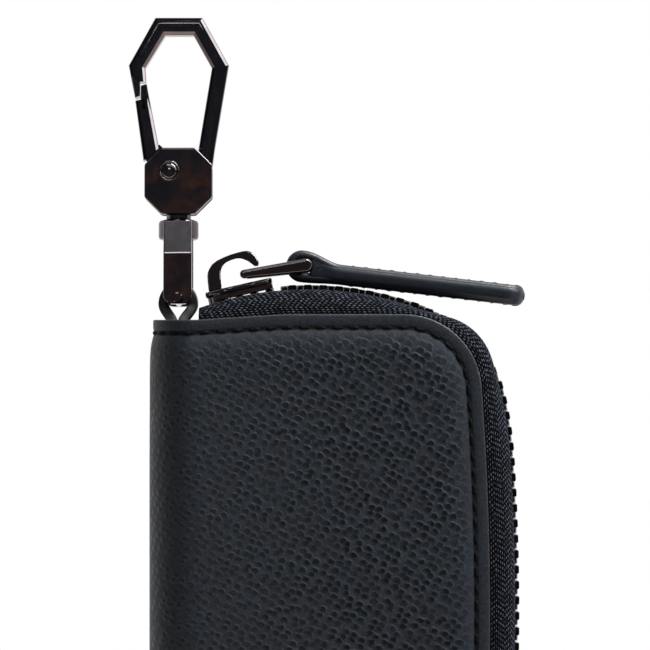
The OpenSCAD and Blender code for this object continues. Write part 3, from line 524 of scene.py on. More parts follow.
def stitchPiece():
    points = []
    for ring in range(stitch["rings"]):
        f = ring / (stitch["rings"] - 1)
        reach = sin(pi * (0.08 + 0.84 * f)) ** 0.5
        sink = stitch["lift"] - stitch["sunk"] * abs(2 * f - 1) ** 2.5
        points += [((f - 0.5) * stitch["length"], y * stitch["width"] / 2, z * stitch["height"] + sink)
                   for y, z in arc(0, 0, reach, 0, 2 * pi, stitch["sides"])[:-1]]
    faces = ringFaces(stitch["rings"], stitch["sides"], flipped=True)
    return tidyMesh(makeObject("Stitch shape", points, faces, [thread]), merge=0.0001)


stitchShape = stitchPiece()


# Even steps along a line of points with normals, each in the middle of its step
def evenPlaces(line, pitch, first=0.0, last=0.0):
    lengths = [0.0]
    for (a, _), (b, _) in zip(line, line[1:]):
        lengths.append(lengths[-1] + (Vector(b) - Vector(a)).length)
    count = max(1, round((lengths[-1] - first - last) / pitch))
    step = (lengths[-1] - first - last) / count
    found, k = [], 0
    for i in range(count):
        s = first + (i + 0.5) * step
        while k < len(lengths) - 2 and lengths[k + 1] < s:
            k += 1
        f = (s - lengths[k]) / max(1e-9, lengths[k + 1] - lengths[k])
        a, b = Vector(line[k][0]), Vector(line[k + 1][0])
        normal = (Vector(line[k][1]) * (1 - f) + Vector(line[k + 1][1]) * f).normalized()
        aside = normal.cross((b - a).normalized()).normalized()
        found.append((a + (b - a) * f, (aside.cross(normal).normalized(), aside, normal)))
    return found


# Covers: each leather runs from the middle of the spine's wall over its bend and across its panel
leather = {"thick": 1.4, "crown": 0.05, "crownFrom": 14, "wallSteps": 2, "bendSteps": 14, "topSteps": 18,
           "cornerSteps": 12, "sideSteps": 18}
bowX = halfW - case["bowR"]
cornerY = halfH - case["cornerR"]
cornerX = bowX + sqrt((case["bowR"] - case["cornerR"]) ** 2 - cornerY ** 2)
bowAngle = atan2(cornerY, cornerX - bowX)
bendLow = case["depth"] - case["bendR"]
# Distance inside the edge and height over the flat panel, from the rim up to the padded middle
rimProfile = [(0.0, -0.34), (0.0, -0.22), (0.045, -0.1), (0.14, -0.025), (0.3, 0.0)]
topProfile = [(0.8, 0.02), (1.4, 0.0), (1.85, -0.06), (2.15, -0.14), (2.4, -0.17), (2.65, -0.14),
              (2.95, -0.02), (3.4, 0.11), (4.2, 0.29), (5.2, 0.45), (6.5, 0.56), (8.0, 0.61), (10.0, 0.63),
              (12.0, 0.63), (14.0, 0.63)]
underProfile = [(0.0, 0.2 - leather["thick"]), (0.14, 0.02 - leather["thick"]), (0.5, -leather["thick"]),
                (14.0, -leather["thick"])]


def dropAt(x):
    return case["drop"] * max(0, dropX - x) / (dropX - foldX)


def coverRing(inset, lift):
    y, top, steps = halfH - case["drop"] - inset, case["depth"] + lift, leather["wallSteps"]
    ring = [(-halfW - lift, y, midZ + (bendLow - midZ) * k / steps) for k in range(steps)]
    bend = arc(foldX, bendLow, case["bendR"] + lift, pi, halfPi, leather["bendSteps"])
    ring += [(x, y, z) for x, z in bend[:-1]]
    for k in range(leather["topSteps"] + 1):
        x = foldX + (cornerX - foldX) * k / leather["topSteps"]
        ring.append((x, halfH - dropAt(x) - inset, top))
    bow = arc(cornerX, cornerY, case["cornerR"] - inset, halfPi, bowAngle, leather["cornerSteps"], 1)
    bow += arc(bowX, 0, case["bowR"] - inset, bowAngle, 0, leather["sideSteps"], 1)
    ring += [(x, y, top) for x, y in bow]
    return ring + [(x, -y, z) for x, y, z in ring[-2::-1]]


def crownAt(x, y):
    fromEdge = min(halfH - abs(y), halfW - x)
    share = (fromEdge - leather["crownFrom"]) / leather["crownFrom"]
    return leather["crown"] * min(1.0, max(0.0, share)) ** 0.8


# Rings along the profile, then a grid of rows across the middle that swells a little if it is crowned
def coverShell(profile, crowned):
    rings = [coverRing(inset, lift) for inset, lift in profile]
    count = len(rings[0])
    points = [p for ring in rings for p in ring]
    faces, painted = [], []
    for k in range(len(rings) - 1):
        for a in range(k * count, (k + 1) * count - 1):
            faces.append([a, a + 1, a + 1 + count, a + count])
            painted.append(profile[k + 1][0] < 0.2)
    columns = leather["wallSteps"] + leather["bendSteps"] + leather["topSteps"] + 1
    inner = rings[-1]
    first = columns - 1 + leather["cornerSteps"]
    side = inner[first:count - first]
    corner = inner[columns - 1]
    base = len(points)
    for i in range(columns):
        x0, y0, z0 = inner[i]
        share = min(1.0, max(0.0, (x0 - foldX) / (cornerX - foldX)))
        turn = min(1.0, max(0.0, (i - leather["wallSteps"]) / leather["bendSteps"]))
        a = pi - halfPi * turn
        for j, (sx, sy, _) in enumerate(side):
            x, y = x0 + (sx - corner[0]) * share, sy * y0 / corner[1]
            lift = crownAt(x, y) if crowned and 0 < j < len(side) - 1 and i < columns - 1 else 0.0
            points.append((x + lift * cos(a), y, z0 + lift * sin(a)))
    rows = len(side)
    for i in range(columns - 1):
        for a in range(base + i * rows, base + (i + 1) * rows - 1):
            faces.append([a, a + rows, a + rows + 1, a + 1])
            painted.append(False)
    return points, faces, painted


# Place on the leather laid flat, in metres from the line where the bend meets the panel
def skinPlace(co, back):
    x, y, z = (v / mm for v in co)
    z = case["depth"] - z if back else z
    if x > foldX:
        along = x - foldX
    elif z < bendLow:
        along = z - bendLow - case["bendR"] * halfPi
    else:
        along = case["bendR"] * (halfPi - atan2(z - bendLow, x - foldX))
    return (along * mm, y * mm)


# How far a place on the skin lies inside the cover's edge, in centimetres
def rimShare(co):
    x, y = co[0] / mm, abs(co[1] / mm)
    if x < cornerX:
        return (halfH - dropAt(max(x, foldX)) - y) / 10
    if atan2(y - cornerY, x - cornerX) > bowAngle:
        return (case["cornerR"] - hypot(x - cornerX, y - cornerY)) / 10
    return (case["bowR"] - hypot(x - bowX, y)) / 10


def coverSkin(name, back):
    points, faces, painted = coverShell(rimProfile + topProfile, True)
    underPoints, underFaces, underPainted = coverShell(underProfile, False)
    shift = len(points)
    rim = [[i, i + 1, shift + i + 1, shift + i] for i in range(len(coverRing(0, 0)) - 1)]
    points += underPoints
    faces += [[shift + v for v in face] for face in underFaces] + rim
    painted += underPainted + [True] * len(rim)
    if back:
        points = [(x, y, case["depth"] - z) for x, y, z in points]
    skin = makeObject(name, points, faces, [coverLeather, coverEdge], [int(mark) for mark in painted])
    tidyMesh(skin, merge=0.003, fill=True)
    skinMap, rimMap = (skin.data.uv_layers.new(name=layer) for layer in ("skin", "rim"))
    for loop in skin.data.loops:
        co = skin.data.vertices[loop.vertex_index].co
        skinMap.data[loop.index].uv = skinPlace(co, back)
        rimMap.data[loop.index].uv = (rimShare(co), 0)
    return skin


def stitchLine(back):
    line = []
    for low, high in zip(coverRing(stitch["inset"], -stitch["groove"]), coverRing(stitch["inset"], 0.0)):
        normal = (Vector(high) - Vector(low)).normalized()
        if back:
            low, normal = (low[0], low[1], case["depth"] - low[2]), Vector((normal[0], normal[1], -normal[2]))
        line.append((low, normal))
    return line


wrapStart, wrapEnd = (foldX * mm, 0, case["depth"] * mm), (-halfW * mm, 0, bendLow * mm)
for half, body, back in (("front", "front_half", False), ("back", "back_half", True)):
    start, end = ((p[0], p[1], case["depth"] * mm - p[2]) if back else p for p in (wrapStart, wrapEnd))
    skin = coverSkin(half + "_leather", back)
    seam = repeated(half + "_stitches", evenPlaces(stitchLine(back), stitch["pitch"]), stitchShape, thread,
                    sizeSpread=0.05, turnSpread=stitch["lean"], seed=3)
    for piece in (skin, seam):
        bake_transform(piece)
    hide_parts(half + "_cover", "spine_cover")
print("covers made")


# Zip: its path, the two woven tapes and the two rows of teeth. A heading turns from x towards -y
def turned(start, radius, h0, h1):
    return (start[0] + radius * (sin(h1) - sin(h0)),
            start[1] + radius * (cos(h1) - cos(h0)))


topY = halfH + zipLine["rise"] - zipLine["topR"]
startX = -halfW + zipLine["start"]
headStart = asin((startX - zipLine["topX"]) / zipLine["topR"])
headTop = asin((zipLine["topEnd"] - zipLine["topX"]) / zipLine["topR"])
headCorner = radians(zipLine["cornerEnd"])
headSide = acos(zipLine["sideRun"] / zipLine["sideR"])
topStart = (startX, topY + zipLine["topR"] * cos(headStart))
topEnd = (zipLine["topEnd"], topY + zipLine["topR"] * cos(headTop))
sideEnd = (halfW + zipLine["reach"] - zipLine["sideR"] * (1 - sin(headSide)), zipLine["sideRun"])
# A straight run before the corner and an eased arc after it close the path between the two known ends
bridgeX = sideEnd[0] - topEnd[0] - zipLine["cornerR"] * (sin(headCorner) - sin(headTop))
bridgeY = topEnd[1] - sideEnd[1] - zipLine["cornerR"] * (cos(headTop) - cos(headCorner))
easeX = sin(headSide) - sin(headCorner)
easeY = cos(headCorner) - cos(headSide)
bridgeDet = cos(headTop) * easeY - sin(headTop) * easeX
straightRun = (bridgeX * easeY - bridgeY * easeX) / bridgeDet
easeR = (cos(headTop) * bridgeY - sin(headTop) * bridgeX) / bridgeDet
sTop = zipLine["topR"] * (headTop - headStart)
sStraight = sTop + straightRun
sCorner = sStraight + zipLine["cornerR"] * (headCorner - headTop)
sEase = sCorner + easeR * (headSide - headCorner)
sHalf = sEase + zipLine["sideR"] * (halfPi - headSide)
zipLength = 2 * sHalf
straightEnd = (topEnd[0] + straightRun * cos(headTop), topEnd[1] - straightRun * sin(headTop))
cornerEnd = turned(straightEnd, zipLine["cornerR"], headTop, headCorner)
# Where each part starts along the path, its first point and heading, and its radius, 0 for the straight one
zipParts = [(0, topStart, headStart, zipLine["topR"]), (sTop, topEnd, headTop, 0),
            (sStraight, straightEnd, headTop, zipLine["cornerR"]), (sCorner, cornerEnd, headCorner, easeR),
            (sEase, sideEnd, headSide, zipLine["sideR"])]


def zipAt(s):
    if s > sHalf:
        (x, y), h = zipAt(zipLength - s)
        return (x, -y), pi - h
    s0, point, h0, radius = [part for part in zipParts if part[0] <= s][-1]
    if not radius:
        return (point[0] + (s - s0) * cos(h0), point[1] - (s - s0) * sin(h0)), h0
    h = h0 + (s - s0) / radius
    return turned(point, radius, h0, h), h


edgeTop = cornerX - startX
edgeCorner = edgeTop + case["cornerR"] * (halfPi - bowAngle)
edgeHalf = edgeCorner + case["bowR"] * bowAngle


def edgeAt(share):
    if share > 0.5:
        x, y = edgeAt(1 - share)
        return (x, -y)
    s = share * 2 * edgeHalf
    if s < edgeTop:
        return (startX + s, halfH - dropAt(startX + s))
    if s < edgeCorner:
        a = halfPi - (s - edgeTop) / case["cornerR"]
        return (cornerX + case["cornerR"] * cos(a), cornerY + case["cornerR"] * sin(a))
    a = bowAngle - (s - edgeCorner) / case["bowR"]
    return (bowX + case["bowR"] * cos(a), case["bowR"] * sin(a))


tape = {"thick": 0.8, "hem": 3.9, "bend": 5.2, "foot": 3.2, "notch": 5.6, "belly": 0.45, "steps": 300,
        "fan": 9}
slider = {"inset": 15.2, "length": 14.2, "width": 10.4, "rearWidth": 8.8, "plate": 1.2, "channel": 1.55,
          "slot": 0.8, "flange": 0.85, "wedge": 3.0, "crownWidth": 2.2, "crownHeight": 5.9,
          "crownLength": 10.2}
sliderHead = asin((slider["inset"] - halfW - zipLine["topX"]) / zipLine["topR"])
sNotch = zipLine["topR"] * (sliderHead - headStart) + slider["length"] / 2 + 0.4


# 1 in the middle of the zip's corners, 0 away from them
def cornerShare(s):
    centre, width = (sStraight + sCorner) / 2, sCorner - sStraight
    d = min(abs(s - centre), abs(zipLength - s - centre))
    return max(0.0, cos(min(halfPi, d / width * halfPi)))


# From the hem under the leather, round the bend, down to the zip's edge: points with their outward normals
def tapeSection(b, belly, last):
    hemM = midZ - leather["thick"] - tape["thick"] / 2
    bendM = max(tape["bend"], last + 0.4)
    rise = hemM - bendM
    line = [((-tape["hem"], hemM), (0, 1)), ((-1.2, hemM), (0, 1)), ((0, hemM), (0, 1))]
    for i in range(1, tape["fan"] + 1):
        a = halfPi * i / tape["fan"]
        normal = Vector((rise * sin(a), b * cos(a))).normalized()
        line.append(((b * sin(a) + belly * sin(2 * a), bendM + rise * cos(a)), normal))
    return line + [((b, bendM + (last - bendM) * k / 3), (1, 0)) for k in (1, 2, 3)]


def tapeStrip(name, notched, back):
    points, weaveMap = [], []
    for i in range(tape["steps"] + 1):
        share = i / tape["steps"]
        s = share * zipLength
        edge = Vector(edgeAt(share))
        u = Vector(zipAt(s)[0]) - edge
        b = u.length
        u /= b
        last = tape["notch"] if notched and s < sNotch else tape["foot"]
        line = tapeSection(b, tape["belly"] * cornerShare(s), last)
        outer, inner = ([Vector(p) + Vector(n) * side * tape["thick"] / 2 for p, n in line]
                        for side in (1, -1))
        across = [0.0]
        for p, q in zip(outer, outer[1:]):
            across.append(across[-1] + (q - p).length)
        for c in outer + inner[::-1]:
            z = midZ + c[1]
            points.append((edge[0] + c[0] * u[0], edge[1] + c[0] * u[1], case["depth"] - z if back else z))
        weaveMap += [(s, y) for y in across] + [(s, y + 40) for y in across[::-1]]
    faces = ringFaces(tape["steps"] + 1, 2 * len(across), flipped=True)
    made = makeObject(name, points, faces, [zipTape])
    layer = made.data.uv_layers.new(name="weave")
    for loop in made.data.loops:
        layer.data[loop.index].uv = weaveMap[loop.vertex_index]
    return tidyMesh(made, merge=None)


# One tooth stands on its tape's edge: distance from the zip's middle, half width, half thickness
toothLevels = [(-0.6, 0.34, 0.62), (-0.42, 0.53, 0.95), (0.0, 0.57, 1.08), (1.25, 0.57, 1.14),
               (1.75, 0.78, 1.22), (3.08, 0.80, 1.25), (3.2, 0.70, 1.14)]
toothChamfer = 0.22


def toothPiece():
    points = []
    for m, w, t in toothLevels:
        c = min(toothChamfer, w / 2)
        upper = [(w, t - c), (w - c, t), (c - w, t), (-w, t - c)]
        points += [(x, y, m) for x, y in upper + [(-x, -y) for x, y in upper]]
    return tidyMesh(makeObject("Tooth", points, ringFaces(len(toothLevels), 8), [toothMetal]), merge=0.0001)


toothShape = toothPiece()
frontFirst = sNotch + zipLine["pitch"]
backFirst = frontFirst - zipLine["pitch"] * 3.5
stop = {"length": 2.2, "thick": 3.0, "low": 2.6, "high": 5.2, "gap": 0.4}


def toothPlaces(first, back):
    places, s = [], first
    while s <= zipLength - stop["length"] - zipLine["pitch"] / 2:
        (x, y), h = zipAt(s)
        sunk = zipLine["cornerSink"] * cornerShare(s)
        ahead, out = (cos(h), -sin(h), 0), (sin(h), cos(h), 0)
        axes = (ahead, (-out[0], -out[1], 0), (0, 0, -1)) if back else (ahead, out, (0, 0, 1))
        places.append(((x - sunk * out[0], y - sunk * out[1], midZ), axes))
        s += zipLine["pitch"]
    return places


for half, body, back, first in (("front", "front_half", False, frontFirst),
                                ("back", "back_half", True, backFirst)):
    rides(tapeStrip(half + "_zip_tape", not back, back), body, "zip_tape", half + "_tape")
    row = repeated(half + "_zip_teeth", toothPlaces(first, back), toothShape, toothMetal)
    row.data.set_sharp_from_angle(angle=radians(38))
    rides(row, body, "gunmetal", half + "_teeth")
print("zip made")


# Metal parts
def rounded(outline, rounds, cut=0.25):
    for _ in range(rounds):
        smooth = []
        for (ax, ay), (bx, by) in zip(outline, outline[1:] + outline[:1]):
            smooth += [(ax + (bx - ax) * share, ay + (by - ay) * share) for share in (cut, 1 - cut)]
        outline = smooth
    return outline


def mirroredUp(half):
    return half + [(x, -y) for x, y in half[::-1] if abs(y) > 1e-9]


def finishMetal(made, body, *nodes, sharp=32, slotName="gunmetal"):
    made.data.set_sharp_from_angle(angle=radians(sharp))
    step = made.modifiers.new("Flat faces", "WEIGHTED_NORMAL")
    step.weight = 90
    step.keep_sharp = True
    return rides(applyModifiers(made), body, slotName, *nodes)


# Slider: x along the zip, y outward, z across the tapes
sag = zipLine["topR"] - sqrt(zipLine["topR"] ** 2 - (slider["length"] / 2) ** 2)
sliderR = zipLine["topR"] - sag / 2
sliderAhead = (cos(sliderHead), -sin(sliderHead), 0)
sliderOut = (sin(sliderHead), cos(sliderHead), 0)
sliderAt = (zipLine["topX"] + sliderR * sliderOut[0], topY + sliderR * sliderOut[1], midZ)
sliderFrame = axesAt(sliderAt, sliderAhead, sliderOut, (0, 0, 1))
wide, narrow, channel = slider["width"] / 2, slider["rearWidth"] / 2, slider["channel"]


def alongSlider(share):
    return (share - 0.5) * slider["length"]


def plateOutline(first):
    half = [(first, 0.40 * wide), (first + 0.06, 0.84 * wide), (first + 0.20, wide), (0.42, wide),
            (0.70, narrow), (1, narrow)]
    return rounded(mirroredUp([(alongSlider(share), z) for share, z in half]), 2, 0.16)


# Two plates with two flanges each, and the wedge between them
sliderParts = [prism("plate", plateOutline(first), low, low + slider["plate"], gunmetal, 0.38, 3, "y")
               for first, low in ((0.12, channel), (0, -channel - slider["plate"]))]
flangeEdge = [(alongSlider(0.12) + 1.6, wide - 0.12), (alongSlider(0.42), wide - 0.12),
              (alongSlider(0.70), narrow - 0.12), (alongSlider(1) - 0.2, narrow - 0.12)]
flange = flangeEdge + [(x, z - slider["flange"] + 0.12) for x, z in flangeEdge[::-1]]
for low, high in ((slider["slot"], channel + 0.3), (-channel - 0.3, -slider["slot"])):
    for side in (-1, 1):
        outline = [(x, z * side) for x, z in flange]
        sliderParts.append(prism("flange", outline, low, high, gunmetal, 0.12, 2, "y"))
wedge = mirroredUp([(alongSlider(share), z) for share, z in ((0.12, 0), (0.20, slider["wedge"] / 2),
                                                             (0.34, slider["wedge"] / 2), (0.46, 0))])
sliderParts.append(prism("wedge", rounded(wedge, 1), -channel - 0.2, channel + 0.2, gunmetal, axis="y"))
finishMetal(placed(joined("zip_slider_body", sliderParts), sliderFrame), "slider", "slider_body")

# Crown: an open hook seen from its side, in shares of its length and height
crownShares = [(0, 0), (0.03, 0.45), (0.07, 0.64), (0.20, 0.86), (0.47, 0.97), (0.74, 1), (0.86, 0.97),
               (0.95, 0.82), (1, 0.55), (0.97, 0.45), (0.91, 0.44), (0.86, 0.55), (0.78, 0.70),
               (0.65, 0.82), (0.50, 0.80), (0.39, 0.75), (0.31, 0.62), (0.27, 0.42), (0.24, 0)]
crownX, crownY = alongSlider(0.17), channel + slider["plate"]
crownLine = [(x * slider["crownLength"], y * slider["crownHeight"]) for x, y in crownShares]
crownLine = [crownLine[0]] + rounded(crownLine, 1)[1:-3] + [crownLine[-1]]
crownHalf = slider["crownWidth"] / 2
crown = prism("zip_slider_crown", crownLine, -crownHalf, crownHalf, gunmetal, 0.6, 4)
finishMetal(placed(moved(crown, crownX, crownY), sliderFrame), "slider", "slider_crown")

# Pull link: two round bars between two side plates
link = {"length": 10.55, "width": 11.2, "side": 1.3, "barR": 0.8, "endR": 1.25, "tail": 2.0, "angle": 8}
linkX, linkY = crownX + 0.7 * slider["crownLength"], crownY + 0.277 * slider["crownHeight"]
linkAt = [sliderAt[i] + sliderAhead[i] * linkX + sliderOut[i] * linkY for i in range(3)]


# Frame turned by some degrees about the height
def turnedFrame(origin, degrees):
    c, s = cos(radians(degrees)), sin(radians(degrees))
    return axesAt(origin, (c, s, 0), (-s, c, 0), (0, 0, 1))


def roundBar(name, radius, length, material, rounding=0.2):
    half, soft = length / 2, rounding * 0.3
    end = [(radius, half - rounding), (radius - soft, half - soft), (radius - rounding, half)]
    return lathe(name, [(r, -z) for r, z in end[::-1]] + end, material, 32)


linkParts = [roundBar("bar", link["barR"], link["width"] - 0.1, gunmetal) for _ in (0, 1)]
moved(linkParts[1], link["length"], 0)
run = link["length"] + link["tail"] - link["endR"]
linkSide = arc(0, 0, link["barR"], halfPi, 3 * halfPi, 10) + arc(run, 0, link["endR"], -halfPi, halfPi, 10)
for low in (-link["width"] / 2, link["width"] / 2 - link["side"]):
    linkParts.append(prism("side", linkSide, low, low + link["side"], gunmetal, 0.55, 5))
linkPiece = placed(joined("zip_pull_link", linkParts), turnedFrame(linkAt, link["angle"]))
finishMetal(linkPiece, "pull_link", "pull_link")
print("slider and link made")

# Snap hook: everything lies in a frame that starts at the eye's bar, y along the hook
hook = {"at": (-26.2, 56.75, 5.4), "tilt": 3.6, "barR": 1.1, "legWidth": 5.2, "legThick": 2.0, "gap": 0.3,
        "legRun": 8.2, "loopWidth": 5.2, "bossR": 3.7, "bossHeight": 3.65, "bossTop": 14.6, "postR": 1.55,
        "neckR": 2.3, "neck": 0.9, "bodyWidth": 12.5, "bodyLength": 12.3, "bodyThick": 5.0,
        "frameWidth": 18.5, "frameLength": 24.0, "frameThick": 3.7, "rivet": (-1.7, 8.0), "tongueR": 2.7,
        "tongue": 1.7, "seat": 3.0, "headR": 2.2, "head": 1.5, "legEnd": 2.6}
tilt = radians(hook["tilt"])
c, s = cos(tilt), sin(tilt)
hookFrame = axesAt(hook["at"], (1, 0, 0), (0, c, -s), (0, s, c))
alongY = axesAt((0, 0, 0), (1, 0, 0), (0, 0, -1), (0, 1, 0))
bossTop, bossBase = hook["bossTop"], hook["bossTop"] - hook["bossHeight"]
bodyY = bossTop + 0.1 + hook["neck"]
frameY = bodyY + hook["bodyLength"]
rivetX, rivetY = hook["rivet"][0], bodyY + hook["rivet"][1]
tongueR, chamfer = hook["tongueR"], hook["bodyWidth"] / 4
# Quarter of a bar's section: a wide bevel between two small fillets, as angles round an ellipse
bevelAngles = (0, 10, 28, 62, 80, 90)


# Place on the hook's frame, in shares of half its width and of its length over the body
def onFrame(across, along):
    return (across * hook["frameWidth"] / 2, frameY + along * hook["frameLength"])


# Bar through stations of an outer and an inner place; the shares say how far the bevels reach over its width
def sweptBar(name, stations, shares, filletUp):
    points = []
    for outer, inner in stations:
        o, i = Vector(onFrame(*outer)), Vector(onFrame(*inner))
        width = (o - i).length
        ahead, middle, reach = (o - i) / width, (o + i) / 2, [width * share for share in shares]
        points += [(middle[0] + ahead[0] * u, middle[1] + ahead[1] * u, z)
                   for u, z in roundedBox(width / 2, hook["frameThick"] / 2, reach, filletUp, bevelAngles)]
    return tidyMesh(makeObject(name, points, ringFaces(len(stations), 4 * len(bevelAngles)), [gunmetal]))


def bodySide(inset):
    half = hook["bodyWidth"] / 2 - inset
    return [(half, bodyY + chamfer), (half, frameY - chamfer), (chamfer, frameY - inset)]


frameStations = [((0.64, -0.25), (0.37, -0.25)), ((0.728, 0), (0.40, 0)), ((1, 0.64), (0.66, 0.62)),
                 ((0.47, 1.01), (0.29, 0.875)), ((-0.47, 1.01), (-0.27, 0.875)),
                 ((-1, 0.64), (-0.67, 0.62)), ((-0.94, 0.515), (-0.65, 0.51))]
noseStations = [((-0.955, 0.55), (-0.765, 0.55)), ((-0.871, 0.388), (-0.772, 0.402))]
octagon = [(-chamfer, bodyY), (chamfer, bodyY)] + bodySide(0) + [(-x, y) for x, y in bodySide(0)[::-1]]
slotHigh = hook["tongue"] / 2 + 0.1
slotY = rivetY - tongueR - 0.85
left = 0.2 - hook["bodyWidth"] / 2
bodyCore = [(-chamfer + 0.2, bodyY + 0.2), (chamfer - 0.2, bodyY + 0.2)] + bodySide(0.2)
bodyCore += [(chamfer, slotY), (left, slotY), (left, bodyY + chamfer)]
bodyParts = [prism("plate", octagon, slotHigh, hook["bodyThick"] / 2, gunmetal, 0.32, 3),
             prism("plate", octagon, -hook["bodyThick"] / 2, -slotHigh, gunmetal, 0.32, 3),
             prism("core", bodyCore, -slotHigh - 0.3, slotHigh + 0.3, gunmetal),
             sweptBar("frame", frameStations, (0.36, 0.34), 0.76),
             sweptBar("nose", noseStations, (0.3, 0.2), 0.4)]
finishMetal(placed(joined("snap_hook_frame", bodyParts), hookFrame), "snap_hook", "clip_frame", sharp=12)

# Gate: its bar and tip, the round tongue in the body's slot and the arm between them
gateStations = [((-0.70, -0.10), (-0.39, 0.0)), ((-0.868, 0.365), (-0.585, 0.385))]
tipStations = [((-0.765, 0.30), (-0.545, 0.30)), ((-0.757, 0.48), (-0.637, 0.494))]
tongue = arc(rivetX, rivetY, tongueR, 0, 2 * pi, 40)[:-1]
arm = [onFrame(-0.39, 0.03), onFrame(-0.69, -0.07), (rivetX - 0.5 * tongueR, rivetY - 0.86 * tongueR),
       (rivetX + 0.6 * tongueR, rivetY + 0.8 * tongueR)]
armHigh = hook["tongue"] / 2 - 0.02
gateParts = [sweptBar("bar", gateStations, (0.36, 0.34), 0.76),
             sweptBar("tip", tipStations, (0.2, 0.5), 0.72),
             prism("tongue", tongue, -hook["tongue"] / 2, hook["tongue"] / 2, gunmetal, 0.15, 2),
             prism("arm", arm, -armHigh, armHigh, gunmetal)]
finishMetal(placed(joined("snap_hook_gate", gateParts), hookFrame), "gate", "gate", sharp=12)

# Rivet: the same head on both faces, a flat rim, a groove and a low dome
rivetHead = {"radius": 1.9, "crest": 0.17, "groove": 1.5, "domeR": 1.42, "dome": 0.42}
z0, r0 = hook["bodyThick"] / 2, rivetHead["radius"]
crest, foot = z0 + rivetHead["crest"], z0 + 0.02
headLine = [(1.0, 0.0), (1.0, z0 - 0.03), (r0, z0 - 0.03), (r0, z0 + 0.05), (r0 - 0.07, crest - 0.03),
            (r0 - 0.18, crest), (r0 - 0.3, crest - 0.05), (rivetHead["groove"], foot)]
headLine += [(rivetHead["domeR"] * x, foot + rivetHead["dome"] * y) for x, y in arc(0, 0, 1, 0, halfPi, 9)]
rivetPiece = lathe("snap_hook_rivet", [(r, -z) for r, z in headLine[:0:-1]] + headLine, gunmetal, 48)
finishMetal(placed(moved(rivetPiece, rivetX, rivetY), hookFrame), "snap_hook", "gate_rivet", sharp=40)

# Spring behind the gate's tongue: a fine coil
coil = {"radius": 0.66, "wire": 0.17, "turns": 4, "steps": 96, "sides": 8}
coilStart, coilEnd = rivetX + tongueR + 0.12 + coil["wire"], chamfer - 0.02 - coil["wire"]
points = []
for k in range(coil["steps"] + 1):
    f = k / coil["steps"]
    a, x = 2 * pi * coil["turns"] * f, coilStart + (coilEnd - coilStart) * f
    points += [(x + up, rivetY + r * cos(a), r * sin(a))
               for r, up in arc(coil["radius"], 0, coil["wire"], 0, 2 * pi, coil["sides"])[:-1]]
spring = makeObject("snap_hook_spring", points, ringFaces(coil["steps"] + 1, coil["sides"]), [nickel])
placed(tidyMesh(spring, merge=0.0001), hookFrame)
finishMetal(spring, "snap_hook", "gate_spring", sharp=60, slotName="nickel")

# Post: head, shank and neck
headR, postR, neckR = hook["headR"], hook["postR"], hook["neckR"]
headTop, seatY = bossBase - 0.05, bodyY + hook["seat"] - 0.05
headY = headTop - hook["head"]
postLine = [(0, headY), (headR - 0.3, headY), (headR, headY + 0.25), (headR, headTop - 0.2),
            (headR - 0.2, headTop), (postR, headTop), (postR, bossTop + 0.1), (neckR - 0.15, bossTop + 0.1),
            (neckR, bossTop + 0.22), (neckR, bodyY - 0.12), (neckR - 0.15, bodyY), (postR, bodyY),
            (postR, seatY), (0, seatY)]
post = placed(lathe("snap_hook_post", postLine, gunmetal), alongY)
finishMetal(placed(post, hookFrame), "snap_hook", "swivel_post", sharp=40)

# Eye: two legs lean in to the round boss, and a bar crosses between their rounded ends
bossR, barR, legRun = hook["bossR"], hook["barR"], hook["legRun"]
legIn = hook["loopWidth"] / 2 + hook["gap"]
legOut = legIn + hook["legThick"]


def bevelEdges(made, chosen, width, segments):
    work = bmesh.new()
    work.from_mesh(made.data)
    edges = [edge for edge in work.edges if chosen(*(vert.co / mm for vert in edge.verts))]
    bmesh.ops.bevel(work, geom=edges, offset=width * mm, segments=segments, profile=0.5, affect="EDGES")
    work.to_mesh(made.data)
    work.free()


def eyeLeg(side):
    end = bossTop - 0.3
    profile = [(-barR, legOut), (legRun, legOut), (end, bossR + 0.3), (end, hook["legEnd"]),
               (bossBase, hook["legEnd"]), (legRun - 0.3, legIn), (-barR, legIn)]
    w = hook["legWidth"] / 2
    leg = prism("leg", [(y, z * side) for y, z in profile], -w, w, gunmetal, axis="x")
    bevelEdges(leg, lambda a, b: max(a.y, b.y) < 0.01 - barR and abs(a.x - b.x) < 1e-4, 1.55, 6)
    bevelEdges(leg, lambda a, b: max(abs(v.y - legRun) for v in (a, b)) < 1e-3 and (a - b).length > 3, 0.3, 4)
    return bevelled(leg, 0.22, 2)


eyeParts = [eyeLeg(1), eyeLeg(-1), roundBar("bar", barR, 2 * legOut + 0.5, gunmetal, 0.35)]
bossLine = [(postR + 0.05, bossBase), (bossR - 0.6, bossBase), (bossR - 0.18, bossBase + 0.18),
            (bossR, bossBase + 0.6), (bossR, bossTop - 0.6), (bossR - 0.18, bossTop - 0.18),
            (bossR - 0.6, bossTop), (postR + 0.05, bossTop)]
eyeParts.append(placed(lathe("boss", bossLine, gunmetal, 64), alongY))
finishMetal(placed(joined("swivel_eye_piece", eyeParts), hookFrame), "swivel_eye", "swivel_eye", sharp=7)
print("snap hook made")


# Straps: one leather strip each, swept along a line with painted edges
def easeIn(f):
    return (1 - cos(pi * min(1, max(0, f)))) / 2


